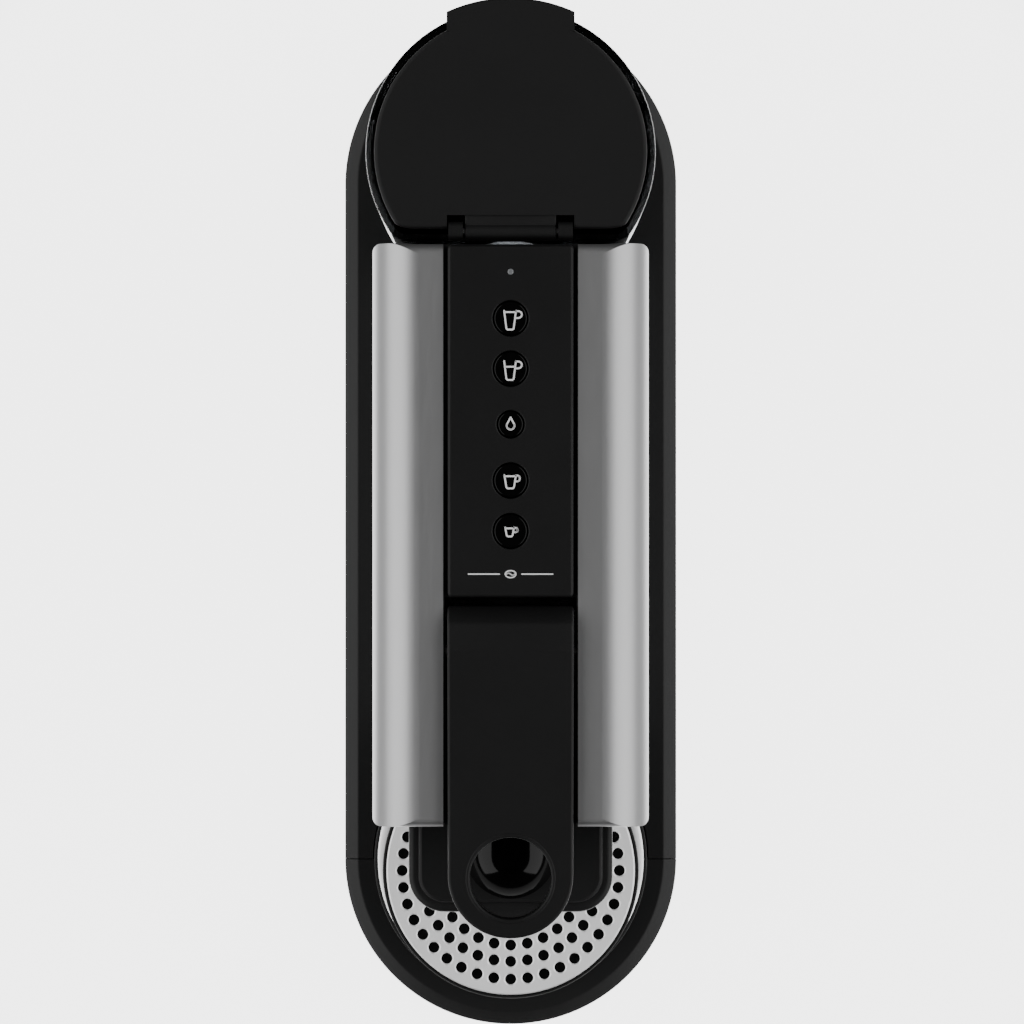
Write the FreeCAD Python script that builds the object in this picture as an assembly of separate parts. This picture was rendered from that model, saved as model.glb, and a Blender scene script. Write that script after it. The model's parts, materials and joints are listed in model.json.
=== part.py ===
"""Slim pod coffee machine, as an assembly of separate solids.

Millimetres. X runs to the machine's right, Y to its rear, Z up. The origin is on the
table under the middle of the base, so the front of the machine faces -Y.
"""
import FreeCAD, Part
import math
import os

V = FreeCAD.Vector
X_AXIS = V(1, 0, 0)
Y_AXIS = V(0, 1, 0)
Z_AXIS = V(0, 0, 1)
EPS = 1.0                  # how far a cutter runs past the face that it cuts

# ---- driving dimensions -------------------------------------------------------------
BASE_R = 65.0              # half-width of the base, and radius of its round ends
BASE_C = 132.2             # distance of each end's centre from the middle
FOOT_H = 3.0
BASE_TOP = 23.0
RIM_W = 5.0                # width of the sloping band round the base's top edge
RIM_H = 3.0
WALL = 2.5                 # housing walls

PANEL_X = 49.5             # half-width over the side panels
PANEL_IN = 24.0            # inner edge of each side panel's flat top
PANEL_T = 2.4
SHOULDER_R = 17.0
TOP_Z = 270.0              # top of the side panels
HEAD_Y = -108.4            # front edge of the side panels
REAR_Y = 99.6              # rear edge of the side panels
COLUMN_Y = -77.0           # front of the column under the head
HEAD_Z = 190.0             # underside of the head

CONTROL_X = 22.4           # half-width of the control panel
CONTROL_Y = (-26.5, 98.9)
CONTROL_Z = 272.0
BUTTON_Y = (72.7, 54.8, 35.0, 15.0, -3.0)
BUTTON_R = (6.0, 6.0, 4.6, 6.0, 6.0)
BUTTON_NAMES = ("large_fill", "large_level", "rinse", "medium_cup", "small_cup")
BUTTON_GAP = 0.35
LIGHT_Y = 89.3

PIVOT_Y = -45.7            # lever shaft
PIVOT_Z = 260.0
SHAFT_R = 2.0
BARREL_R = 16.0            # rolled rear end of the lever
CORNER_R = 18.6            # the rolled end's fuller upper corner, from the shaft
LEVER_X = 22.5
LEVER_FRONT = -147.7
LEVER_Z = (264.0, 276.0)
FINGER_Y = -126.4
FINGER_R = 16.0            # outside of the trim ring in the finger hole
FINGER_IN = 14.5
ARM_R = 18.0               # drive pins' distance from the lever shaft
PIN_R = 2.2
BREW_Z = 222.0             # axis of the capsule chamber

OUTLET_X = 36.8
OUTLET_Y = -140.6
OUTLET_Z = 240.0
SPOUT_Y = -123.0
CAP_R = 17.2               # glossy cap on the outlet head
CAP_SINK = 4.9             # its centre lies this far below the head's top
CAP_Y = -119.1

TRAY_R = 53.4              # round dish of the drip tray
TRAY_RIM = 28.0            # top of the dish
TRAY_BASIN = 10.0          # floor of the dish
SEAM = 0.15                # half of the gap between the tray and the base
GRID_R = 52.0
GRID_Z = (26.0, 29.5)
GRID_RING = 5.0            # width of the grid's outer ring
SLAT_PITCH = 7.0
SLAT_HALF = 1.4            # half-width of a slat
RIB_HALF = 1.5             # half-width of the rib across the slats
SUPPORT_Y = -134.2         # middle of the folding cup support
SUPPORT_R = 49.3
SUPPORT_Z = (65.0, 71.0)
HINGE_Y = -83.0            # cup support hinge
HINGE_Z = 70.0
HINGE_PIN_R = 1.6
HOLE_R = 2.4
HOLE_RINGS = ((41.8, 40), (35.0, 34), (28.7, 28), (22.0, 22), (15.3, 16), (8.4, 10))

TANK_Y = 132.5             # middle of the tank's round rear wall
TANK_R = 51.8
TANK_T = 2.8
TANK_FRONT = 100.7
TANK_Z = (26.0, 262.0)
LID_R = 48.7
LID_FRONT = 104.9
LID_Z = (262.5, 268.5)
TAB_R = 54.6
TAB_X = 22.8
LID_HINGE_Y = 103.8
LID_HINGE_Z = 266.0
LID_PIN_R = 1.4
RECESS_X = 22.7            # half-width of the notch in the lid's front edge
RECESS_Y = 109.6
VALVE_Y = 120.0


# ---- small shape helpers ------------------------------------------------------------
def box(x, y, z):
    """A box from three (low, high) pairs."""
    return Part.makeBox(x[1] - x[0], y[1] - y[0], z[1] - z[0], V(x[0], y[0], z[0]))


def rod(radius, start, end):
    """A cylinder between two points."""
    start, end = V(*start), V(*end)
    return Part.makeCylinder(radius, (end - start).Length, start, end - start)


def disc(radius, centre_y, z, centre_x=0.0):
    """An upright cylinder from z[0] to z[1]."""
    return rod(radius, (centre_x, centre_y, z[0]), (centre_x, centre_y, z[1]))


def rounded(points):
    """A closed planar face through 3-D corners, each (point, corner radius)."""
    edges = []
    arcs = []
    count = len(points)
    for index in range(count):
        here, radius = V(*points[index][0]), points[index][1]
        before = (V(*points[index - 1][0]) - here).normalize()
        after = (V(*points[(index + 1) % count][0]) - here).normalize()
        if radius <= 0:
            arcs.append((here, None, here))
            continue
        half = before.getAngle(after) / 2
        reach = radius / math.tan(half)
        inward = (before + after).normalize()
        middle = here + inward * (radius / math.sin(half) - radius)
        arcs.append((here + before * reach, middle, here + after * reach))
    for index in range(count):
        first, middle, last = arcs[index]
        if middle is not None:
            edges.append(Part.Arc(first, middle, last).toShape())
        following = arcs[(index + 1) % count][0]
        if (following - last).Length > 1e-6:
            edges.append(Part.LineSegment(last, following).toShape())
    return Part.Face(Part.Wire(edges))


def side_prism(points, x):
    """Extrude a (y, z, radius) outline from x[0] to x[1]."""
    face = rounded([((x[0], y, z), radius) for y, z, radius in points])
    return face.extrude(V(x[1] - x[0], 0, 0))


def front_prism(points, y):
    """Extrude an (x, z, radius) outline from y[0] to y[1]."""
    face = rounded([((px, y[0], pz), radius) for px, pz, radius in points])
    return face.extrude(V(0, y[1] - y[0], 0))


def plan_prism(points, z):
    """Extrude an (x, y, radius) outline from z[0] to z[1]."""
    face = rounded([((px, py, z[0]), radius) for px, py, radius in points])
    return face.extrude(V(0, 0, z[1] - z[0]))


def plan_block(x, y, z, radius):
    """A block with four rounded upright edges."""
    corners = ((x[0], y[0]), (x[1], y[0]), (x[1], y[1]), (x[0], y[1]))
    return plan_prism([(px, py, radius) for px, py in corners], z)


def side_block(x, y, z, radius):
    """A block with four rounded edges along X."""
    corners = ((y[0], z[0]), (y[1], z[0]), (y[1], z[1]), (y[0], z[1]))
    return side_prism([(py, pz, radius) for py, pz in corners], x)


def racetrack(radius, z, front=True, rear=True):
    """The base's outline: straight sides with a half-round at each end."""
    solid = box((-radius, radius), (-BASE_C, BASE_C), z)
    if rear:
        solid = solid.fuse(disc(radius, BASE_C, z))
    if front:
        solid = solid.fuse(disc(radius, -BASE_C, z))
    return solid.removeSplitter()


def d_shape(radius, front, z):
    """The tank's outline: round at the rear, flat in front."""
    flat = box((-radius - EPS, radius + EPS), (front, TANK_Y + radius + EPS), z)
    return disc(radius, TANK_Y, z).common(flat)


def mirrored(shape):
    return shape.mirror(V(0, 0, 0), X_AXIS)


def pair(shape):
    """A solid and its mirror image, kept as two separate solids."""
    return Part.makeCompound([shape, mirrored(shape)])


def turned(shape, point, axis, degrees):
    copy = shape.copy()
    copy.rotate(V(*point), axis, degrees)
    return copy


def pipe(points, bends, radius):
    """A hose: straight runs between points, joined by tangent arcs."""
    corners = [V(*point) for point in points]
    edges = []
    start = corners[0]
    for index in range(1, len(corners) - 1):
        here = corners[index]
        back = (corners[index - 1] - here).normalize()
        on = (corners[index + 1] - here).normalize()
        half = back.getAngle(on) / 2
        reach = bends / math.tan(half)
        middle = here + (back + on).normalize() * (bends / math.sin(half) - bends)
        edges.append(Part.LineSegment(start, here + back * reach).toShape())
        edges.append(Part.Arc(here + back * reach, middle, here + on * reach).toShape())
        start = here + on * reach
    edges.append(Part.LineSegment(start, corners[-1]).toShape())
    path = Part.Wire(edges)
    direction = corners[1] - corners[0]
    section = Part.Wire([Part.Circle(corners[0], direction, radius).toShape()])
    return path.makePipeShell([section], True, False)


NODES = {}


def node(name, shape):
    NODES[name] = shape


# ---- base ---------------------------------------------------------------------------
BASE_FLOOR = (FOOT_H, 6.0)
SLOT_R = TRAY_R + 0.6      # the slot in the base that the drip tray slides in
SCREW_SPOTS = ((44.0, -84.0), (44.0, 120.0))
FOOT_SPOTS = ((42.0, -160.0), (42.0, 160.0))
INLET_X = 32.0             # cord inlet in the base's rear wall
INLET_Z = 13.0
INLET_R = 7.0
LEAD_R = 3.6               # hole for the lead
WIRE_X = 25.0              # the wires' way up, beside the flow meter
METER_Y = 84.0
BARB_R = 2.6               # hose barbs, and bore of the two soft hoses
SEAT_BARB_Z = 15.5


def rim_prism(front, rear):
    """Base block up to BASE_TOP with the sloping band round its top edge."""
    band = BASE_TOP - RIM_H
    lower = racetrack(BASE_R, (BASE_FLOOR[1], band), front, rear)
    sides = front_prism([(-BASE_R, band, 0), (BASE_R, band, 0),
                         (BASE_R - RIM_W, BASE_TOP, 0), (-BASE_R + RIM_W, BASE_TOP, 0)],
                        (-BASE_C, BASE_C))
    solid = lower.fuse(sides)
    for wanted, end in ((front, -BASE_C), (rear, BASE_C)):
        if wanted:
            cone = Part.makeCone(BASE_R, BASE_R - RIM_W, RIM_H, V(0, end, band))
            solid = solid.fuse(cone)
    return solid.removeSplitter()


def base_shell():
    solid = rim_prism(False, True)
    deck = BASE_TOP - WALL
    hollow = racetrack(BASE_R - RIM_W - WALL, (0, deck), False, True)
    hollow = hollow.cut(box((-BASE_R, BASE_R), (-BASE_C - EPS, -BASE_C + 60), (0, deck)))
    solid = solid.cut(hollow)
    slot = disc(SLOT_R, -BASE_C, (0, BASE_TOP + EPS))
    solid = solid.cut(slot)
    for x, y in SCREW_SPOTS:
        for side in (-1, 1):
            solid = solid.fuse(disc(4.5, y, (BASE_FLOOR[1], deck + EPS), side * x))
    for x, y in SCREW_SPOTS:
        for side in (-1, 1):
            solid = solid.cut(disc(1.6, y, (0, 16.0), side * x))
    solid = solid.cut(rod(INLET_R, (INLET_X, 160.0, INLET_Z), (INLET_X, 200.0, INLET_Z)))
    hose_hole = plan_block((-4.6, 4.6), (79.4, 93.0), (deck - EPS, BASE_TOP + EPS), 4.5)
    seat_hole = disc(6.2, VALVE_Y, (deck - EPS, BASE_TOP + EPS))
    wire_hole = disc(4.0, METER_Y, (deck - EPS, BASE_TOP + EPS), WIRE_X)
    return solid.cut(hose_hole).cut(seat_hole).cut(wire_hole).removeSplitter()


def base_plate():
    plate = racetrack(BASE_R - 2.0, BASE_FLOOR)
    for x, y in SCREW_SPOTS:
        for side in (-1, 1):
            plate = plate.cut(disc(1.9, y, (0, BASE_TOP), side * x))
            plate = plate.cut(disc(3.6, y, (0, FOOT_H + 1.6), side * x))
    return plate


def base_screws():
    screws = []
    for x, y in SCREW_SPOTS:
        for side in (-1, 1):
            head = disc(3.3, y, (FOOT_H + 0.1, FOOT_H + 1.6), side * x)
            shank = disc(1.55, y, (FOOT_H + 1.6, 15.0), side * x)
            cross = box((side * x - 2, side * x + 2), (y - 0.4, y + 0.4), (0, FOOT_H + 0.8))
            screws.append(head.fuse(shank).cut(cross))
    return Part.makeCompound(screws)


def rubber_feet():
    feet = []
    for x, y in FOOT_SPOTS:
        for side in (-1, 1):
            foot = disc(9.0, y, (0, FOOT_H), side * x)
            foot = foot.makeFillet(0.8, [foot.Edges[0], foot.Edges[2]])
            feet.append(foot)
    return Part.makeCompound(feet)


def cord_inlet():
    """Grommet with the lead's hole, flush in the base's rear wall."""
    x, z = INLET_X, INLET_Z
    neck = rod(INLET_R - 0.1, (x, 170.0, z), (x, 200.0, z))
    neck = neck.common(racetrack(BASE_R - 0.4, (0, BASE_TOP)))
    flange = rod(INLET_R + 1.5, (x, 169.0, z), (x, 172.0, z))
    flange = flange.common(box((0, 60), (160, 180), (BASE_FLOOR[1] + 0.3, 20.3)))
    body = neck.fuse(flange).removeSplitter()
    return body.cut(rod(LEAD_R, (x, 160.0, z), (x, 205.0, z)))


def tank_seat():
    """Water inlet that the tank's valve plugs into, with its opening pin."""
    flange = disc(10.0, VALVE_Y, (BASE_TOP, BASE_TOP + 2.0))
    stem = disc(6.0, VALVE_Y, (12.0, BASE_TOP + 8.0))
    bore = disc(3.6, VALVE_Y, (14.0, 40.0))
    barb = rod(BARB_R, (0, VALVE_Y - 3.0, SEAT_BARB_Z), (0, VALVE_Y - 12.0, SEAT_BARB_Z))
    pin = disc(1.2, VALVE_Y, (13.0, BASE_TOP + 9.0))
    return flange.fuse(stem).cut(bore).fuse(barb).fuse(pin).removeSplitter()


def seat_seal():
    ring = Part.makeTorus(6.4, 0.9, V(0, VALVE_Y, BASE_TOP + 5.5))
    return ring.cut(disc(6.0, VALVE_Y, (20.0, 40.0)))


node("base_shell", base_shell())
node("base_plate", base_plate())
node("base_screws", base_screws())
node("rubber_feet", rubber_feet())
node("cord_inlet", cord_inlet())
node("tank_seat", tank_seat())
node("seat_seal", seat_seal())


# ---- drip tray ----------------------------------------------------------------------
def drip_tray():
    """Front half-round of the base with a round dish that reaches back into the slot."""
    front = rim_prism(True, False)
    ahead = box((-BASE_R - EPS, BASE_R + EPS), (-BASE_C - BASE_R - EPS, -BASE_C - SEAM),
                (0, BASE_TOP + EPS))
    front = front.common(ahead)
    low = BASE_FLOOR[1] + 0.4
    dish = disc(TRAY_R, -BASE_C, (low, TRAY_RIM))
    solid = front.fuse(dish)
    floor = box((-BASE_R, BASE_R), (-BASE_C - BASE_R - EPS, BASE_C), (0, low))
    solid = solid.cut(floor)
    basin = disc(TRAY_R - WALL, -BASE_C, (TRAY_BASIN, TRAY_RIM + EPS))
    ledge = disc(TRAY_R - 1.2, -BASE_C, (GRID_Z[0], TRAY_RIM + EPS))
    return solid.cut(basin).cut(ledge).removeSplitter()


def drip_grid():
    """Bright round grid that drops into the tray: a ring crossed by slats."""
    ring = disc(GRID_R, -BASE_C, GRID_Z).cut(disc(GRID_R - GRID_RING, -BASE_C, GRID_Z))
    inner = disc(GRID_R - GRID_RING + EPS, -BASE_C, GRID_Z)
    slat_z = (GRID_Z[0] + 0.4, GRID_Z[1] - 0.4)
    along = (-BASE_C - GRID_R, -BASE_C + GRID_R)
    slats = ring
    for step in range(-6, 7):
        middle = step * SLAT_PITCH
        slat = box((middle - SLAT_HALF, middle + SLAT_HALF), along, slat_z)
        slats = slats.fuse(slat.common(inner))
    rib = box((-GRID_R, GRID_R), (-BASE_C - RIB_HALF, -BASE_C + RIB_HALF), slat_z)
    return slats.fuse(rib.common(inner)).removeSplitter()


node("drip_tray", drip_tray())
node("drip_grid", drip_grid())


# ---- housing ------------------------------------------------------------------------
COLUMN_FOOT = BASE_TOP
INNER_X = PANEL_X - PANEL_T - 0.2          # half-width of the inner housing
INNER_TOP = TOP_Z - PANEL_T - 0.2
INNER_R = SHOULDER_R - PANEL_T - 0.2
LEVER_SLOT_X = 23.4
LEVER_SLOT_REAR = CONTROL_Y[0] - 0.1
BUTTON_FLANGE = 1.0
BUTTON_LOW = 266.0                         # underside of the buttons' flanges
BUTTON_STEM_R = 2.0
OPENING_X = 32.0                           # container's opening in the column
OPENING_Z = (33.9, 152.0)
COVER_SCREWS = ((36.0, 40.0), (36.0, 245.0))
BOARD_Z = (258.4, 260.0)


def housing_block(shrink):
    """The inner housing's outer form, moved inwards by shrink."""
    x, top, radius = INNER_X - shrink, INNER_TOP - shrink, INNER_R - shrink
    foot = COLUMN_FOOT + shrink
    front = HEAD_Y + 0.8 + shrink
    column = COLUMN_Y + 0.6 + shrink
    under = HEAD_Z + 0.6 + shrink
    rear = REAR_Y - 0.4
    across = front_prism([(-x, foot, 0), (x, foot, 0), (x, top, radius), (-x, top, radius)],
                         (front - EPS, rear + EPS))
    along = side_prism([(rear, foot, 0), (rear, top, 0), (front, top, 2.0),
                        (front, under, 11.5 - shrink), (column, under, 18.0 + shrink),
                        (column, foot, 0)], (-x - EPS, x + EPS))
    return across.common(along)


def chassis():
    solid = housing_block(0).cut(housing_block(WALL))
    solid = solid.fuse(cover_posts() + board_posts())
    solid = solid.cut(plan_block((-LEVER_SLOT_X, LEVER_SLOT_X), (HEAD_Y - 5, LEVER_SLOT_REAR),
                                 (262.0, TOP_Z + EPS), 0.0))
    opening = box((-OPENING_X, OPENING_X), (COLUMN_Y - 2, COLUMN_Y + 6), OPENING_Z)
    solid = solid.cut(opening)
    solid = solid.cut(box((-28.4, 28.4), (HEAD_Y - 2, HEAD_Y + 6), (201.0, 237.0)))
    for y, radius in zip(BUTTON_Y, BUTTON_R):
        solid = solid.cut(disc(radius + BUTTON_FLANGE + 0.5, y, (264.0, TOP_Z)))
    solid = solid.cut(disc(1.6, LIGHT_Y, (264.0, TOP_Z)))
    through = (COLUMN_FOOT - EPS, COLUMN_FOOT + WALL + 0.5 + EPS)
    solid = solid.cut(disc(4.5, METER_Y, through))
    return solid.cut(disc(4.0, METER_Y, through, WIRE_X))


def rear_cover():
    plug = housing_block(WALL + 0.05)
    slab = box((-PANEL_X, PANEL_X), (REAR_Y - 2.9, REAR_Y - 0.4), (0, TOP_Z))
    cover = plug.common(slab)
    for x, z in COVER_SCREWS:
        for side in (-1, 1):
            cover = cover.cut(rod(1.7, (side * x, 90, z), (side * x, 105, z)))
            cover = cover.cut(rod(3.4, (side * x, REAR_Y - 1.8, z), (side * x, 105, z)))
    return cover


def cover_screws():
    screws = []
    for x, z in COVER_SCREWS:
        for side in (-1, 1):
            head = rod(3.2, (side * x, REAR_Y - 1.8, z), (side * x, REAR_Y - 0.6, z))
            shank = rod(1.5, (side * x, REAR_Y - 10.0, z), (side * x, REAR_Y - 1.8, z))
            screws.append(head.fuse(shank))
    return Part.makeCompound(screws)


def cover_posts():
    """Four screw posts on the housing's side walls, for the rear cover."""
    posts = []
    reach = INNER_X - WALL + 0.5
    for x, z in COVER_SCREWS:
        post = rod(3.5, (x, REAR_Y - 15.0, z), (x, REAR_Y - 2.95, z))
        web = box((x, reach), (REAR_Y - 15.0, REAR_Y - 2.95), (z - 1.2, z + 1.2))
        post = post.fuse(web).cut(rod(1.55, (x, REAR_Y - 12.0, z), (x, REAR_Y, z)))
        posts += [post, mirrored(post)]
    return posts


def side_panel():
    """Right-hand side panel: flat top strip, rounded shoulder, tall side."""
    foot = COLUMN_FOOT + 0.5
    across = front_prism([(PANEL_IN, TOP_Z, 0), (PANEL_X, TOP_Z, SHOULDER_R), (PANEL_X, foot, 0),
                          (PANEL_X - PANEL_T, foot, 0),
                          (PANEL_X - PANEL_T, TOP_Z - PANEL_T, SHOULDER_R - PANEL_T),
                          (PANEL_IN, TOP_Z - PANEL_T, 0)], (HEAD_Y, REAR_Y))
    along = side_prism([(REAR_Y, foot, 0), (REAR_Y, TOP_Z, 4.0), (HEAD_Y, TOP_Z, 3.0),
                        (HEAD_Y, HEAD_Z, 12.0), (COLUMN_Y, HEAD_Z, 18.0),
                        (COLUMN_Y, foot, 0)], (0, PANEL_X + EPS))
    plan = plan_block((0, PANEL_X), (HEAD_Y, REAR_Y), (0, TOP_Z + EPS), 3.0)
    square = box((0, PANEL_IN + 4), (HEAD_Y, REAR_Y), (0, TOP_Z + EPS))
    return across.common(along).common(plan.fuse(square))


def control_panel():
    low = INNER_TOP
    mid = CONTROL_Z - 1.2
    x = CONTROL_X
    body = plan_block((-x, x), CONTROL_Y, (low, mid), 1.5)
    top = plan_block((-x + 1.0, x - 1.0), (CONTROL_Y[0] + 1.0, CONTROL_Y[1] - 1.0),
                     (mid, CONTROL_Z), 1.0)
    solid = body.fuse(top)
    for y, radius in zip(BUTTON_Y, BUTTON_R):
        solid = solid.cut(disc(radius + BUTTON_GAP, y, (low - EPS, CONTROL_Z + EPS)))
        solid = solid.cut(disc(radius + BUTTON_FLANGE + 0.5, y, (low - EPS, low + 1.4)))
    return solid.cut(disc(1.15, LIGHT_Y, (low - EPS, CONTROL_Z + EPS)))


def button(y, radius):
    cap = disc(radius, y, (BUTTON_LOW + 1.0, CONTROL_Z - 0.3))
    flange = disc(radius + BUTTON_FLANGE, y, (BUTTON_LOW, BUTTON_LOW + 1.6))
    stem = disc(BUTTON_STEM_R, y, (BOARD_Z[1] + 2.0, BUTTON_LOW))
    return cap.fuse(flange).fuse(stem).removeSplitter()


def control_board():
    board = box((-19, 19), (-18, 92), BOARD_Z)
    relay = box((-14, 2), (58, 76), (BOARD_Z[0] - 14, BOARD_Z[0]))
    capacitor = rod(5.0, (9, 40, BOARD_Z[0] - 16), (9, 40, BOARD_Z[0]))
    terminal = box((4, 17), (80, 90), (BOARD_Z[0] - 9, BOARD_Z[0]))
    chip = box((-12, -2), (18, 28), (BOARD_Z[0] - 3, BOARD_Z[0]))
    return board.fuse([relay, capacitor, terminal, chip]).removeSplitter()


def board_posts():
    """Posts that hang the control board under the housing's top."""
    spots = [(x, y) for x in (-15.5, 15.5) for y in (-14.0, 44.9, 88.0)]
    return [disc(1.9, y, (BOARD_Z[1], INNER_TOP - 1.0), x) for x, y in spots]


def key_switches():
    return Part.makeCompound([disc(2.6, y, (BOARD_Z[1], BOARD_Z[1] + 0.8)) for y in BUTTON_Y])


def container_shelf():
    x = INNER_X - WALL
    shelf = box((-x, x), (COLUMN_Y + 3.1, -4.0), (31.0, 33.6))
    return shelf.cut(box((-20, 20), (-60, -20), (30, 34)))


node("chassis", chassis())
node("rear_cover", rear_cover())
node("cover_screws", cover_screws())
node("right_side_panel", side_panel())
node("left_side_panel", mirrored(side_panel()))
node("control_panel", control_panel())
node("status_light", disc(1.07, LIGHT_Y, (BOARD_Z[1], CONTROL_Z)))
node("control_board", control_board())
node("key_switches", key_switches())
node("container_shelf", container_shelf())
for name, y, radius in zip(BUTTON_NAMES, BUTTON_Y, BUTTON_R):
    node("button_" + name, button(y, radius))


# ---- outlet head --------------------------------------------------------------------
def outlet_head():
    rear = HEAD_Y + 0.8
    x = OUTLET_X
    low = HEAD_Z - 4.0
    outline = [(-x, rear, 0), (x, rear, 0), (x, OUTLET_Y, 14.0), (-x, OUTLET_Y, 14.0)]
    lower = plan_prism(outline, (low, OUTLET_Z - 2.0))
    inset = [(-x + 2, rear, 0), (x - 2, rear, 0), (x - 2, OUTLET_Y + 4, 13.0),
             (-x + 2, OUTLET_Y + 4, 13.0)]
    top = plan_prism(inset, (OUTLET_Z - 2.0, OUTLET_Z))
    hollow = [(-31, rear + EPS, 0), (31, rear + EPS, 0), (31, OUTLET_Y + 7, 9.0),
              (-31, OUTLET_Y + 7, 9.0)]
    solid = lower.fuse(top).cut(plan_prism(hollow, (196.0, 237.0)))
    return solid.cut(disc(8.0, SPOUT_Y, (low - EPS, 197.0))).removeSplitter()


def outlet_cap():
    """Glossy rounded cover on the outlet head, under the finger hole."""
    centre_z = OUTLET_Z - CAP_SINK
    body = rod(CAP_R, (0, CAP_Y, centre_z), (0, HEAD_Y + 0.8, centre_z))
    nose = Part.makeSphere(CAP_R, V(0, CAP_Y, centre_z))
    above = box((-20, 20), (-140, HEAD_Y + 0.8), (OUTLET_Z, OUTLET_Z + 20))
    return body.fuse(nose).common(above).removeSplitter()


def coffee_spout():
    """Funnel and trough inside the outlet head, with the nozzle below it."""
    neck = disc(7.9, SPOUT_Y, (186.0, 196.0))
    flange = disc(9.5, SPOUT_Y, (196.0, 203.0))
    nozzle = Part.makeCone(5.0, 8.6, 14.0, V(0, SPOUT_Y, 172.0))
    trough = box((-9, 9), (SPOUT_Y, -109.0), (196.0, 203.0))
    solid = neck.fuse([flange, nozzle, trough]).removeSplitter()
    solid = solid.cut(disc(7.5, SPOUT_Y, (198.5, 204.0)))
    solid = solid.cut(box((-6.5, 6.5), (SPOUT_Y, -112.5), (199.5, 204.0)))
    return solid.cut(disc(2.4, SPOUT_Y, (170.0, 200.0)))


node("outlet_head", outlet_head())
node("outlet_cap", outlet_cap())
node("coffee_spout", coffee_spout())


# ---- brew unit ----------------------------------------------------------------------
RAIL_X = (24.2, 27.2)
RAIL_Z = (226.0, 236.0)
INLET_PIPE_Z = 215.0       # cold-water pipe into the thermoblock
FEED_R = 2.0               # hot-water passage behind the injection head
SPIKE_PITCH = 4.0
SIDE_X = (28.0, 31.0)
PIN_Y = PIVOT_Y + ARM_R * math.sin(math.radians(45))
PIN_Z = PIVOT_Z - ARM_R * math.cos(math.radians(45))


def brew_frame():
    floor = HEAD_Z + 0.6 + WALL
    side = box(SIDE_X, (-103.0, -20.5), (floor + 0.05, INNER_TOP - WALL - 0.3))
    column_wall = side_prism([(COLUMN_Y + 0.6 + WALL + 0.3, floor - 30, 0),
                              (COLUMN_Y + 0.6 + WALL + 0.3, floor + 6, 0),
                              (-106.0, floor + 6, 0), (-106.0, floor - 30, 0)], (20, 40))
    side = side.cut(column_wall)
    rear = box((-SIDE_X[1], SIDE_X[1]), (-23.5, -20.5), (200.0, 264.0))
    solid = side.fuse([mirrored(side), rear]).removeSplitter()
    solid = solid.cut(rod(3.2, (0, -30, BREW_Z), (0, -15, BREW_Z)))
    return solid.cut(rod(SHAFT_R, (-40, PIVOT_Y, PIVOT_Z), (40, PIVOT_Y, PIVOT_Z)))


def lever_shaft():
    return rod(SHAFT_R, (-SIDE_X[1], PIVOT_Y, PIVOT_Z), (SIDE_X[1], PIVOT_Y, PIVOT_Z))


def injection_head():
    body = rod(19.0, (0, -62.0, BREW_Z), (0, -44.0, BREW_Z))
    boss = rod(11.0, (0, -44.0, BREW_Z), (0, -23.5, BREW_Z))
    recess = rod(15.5, (0, -63.0, BREW_Z), (0, -56.0, BREW_Z))
    solid = body.fuse(boss).cut(recess)
    for turn in (90, 210, 330):
        angle = math.radians(turn)
        x, z = 7.0 * math.cos(angle), BREW_Z + 7.0 * math.sin(angle)
        solid = solid.fuse(Part.makeCone(1.6, 0.2, 5.0, V(x, -56.0, z), V(0, -1, 0)))
    return solid.cut(rod(FEED_R, (0, -60.0, BREW_Z), (0, -20.0, BREW_Z)))


def capsule_funnel():
    """Deck under the lever with the opening that a capsule drops through."""
    deck = plan_block((-27.5, 27.5), (-103.0, -63.0), (257.0, 260.0), 2.0)
    hole = plan_block((-19.5, 19.5), (-94.0, -65.0), (250.0, 265.0), 6.0)
    return deck.cut(hole)


def capsule_chute():
    """Slide that turns a used capsule from the head down into the column."""
    return side_prism([(-96.0, 193.4, 0), (-86.0, 193.4, 0), (-72.6, 180.0, 0),
                       (-72.6, 158.0, 0), (-70.6, 158.0, 0), (-70.6, 180.8, 0),
                       (-85.2, 195.4, 0), (-94.0, 195.4, 0), (-94.0, 203.0, 0),
                       (-96.0, 203.0, 0)], (-24.0, 24.0))


def clamp_carriage():
    """Sliding frame: two rails with yoke slots and the front cross plate."""
    rail = box(RAIL_X, (-100.0, -25.0), RAIL_Z)
    yoke = side_block(RAIL_X, (PIN_Y - 8.0, PIN_Y + 8.0), (RAIL_Z[0], 256.0), 3.0)
    slot = side_block((RAIL_X[0] - EPS, RAIL_X[1] + EPS), (PIN_Y - 3.1, PIN_Y + 3.1),
                      (239.0, 250.6), 3.0)
    side = rail.fuse(yoke).cut(slot)
    plate = box((-RAIL_X[1], RAIL_X[1]), (-100.0, -95.0), (208.0, RAIL_Z[1]))
    solid = plate.fuse([side, mirrored(side)]).removeSplitter()
    return solid.cut(rod(3.0, (0, -105.0, BREW_Z), (0, -90.0, BREW_Z)))


def clamp_plate():
    plate = rod(14.0, (0, -95.0, BREW_Z), (0, -92.5, BREW_Z))
    for row in range(-2, 3):
        for column in range(-2, 3):
            x, z = column * SPIKE_PITCH, BREW_Z + row * SPIKE_PITCH
            if abs(row) + abs(column) < 4 and (row, column) != (0, 0):
                spike = Part.makeCone(1.5, 0.4, 1.6, V(x, -92.5, z), Y_AXIS)
                plate = plate.fuse(spike)
    return plate.cut(rod(1.6, (0, -100.0, BREW_Z), (0, -90.0, BREW_Z)))


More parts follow.
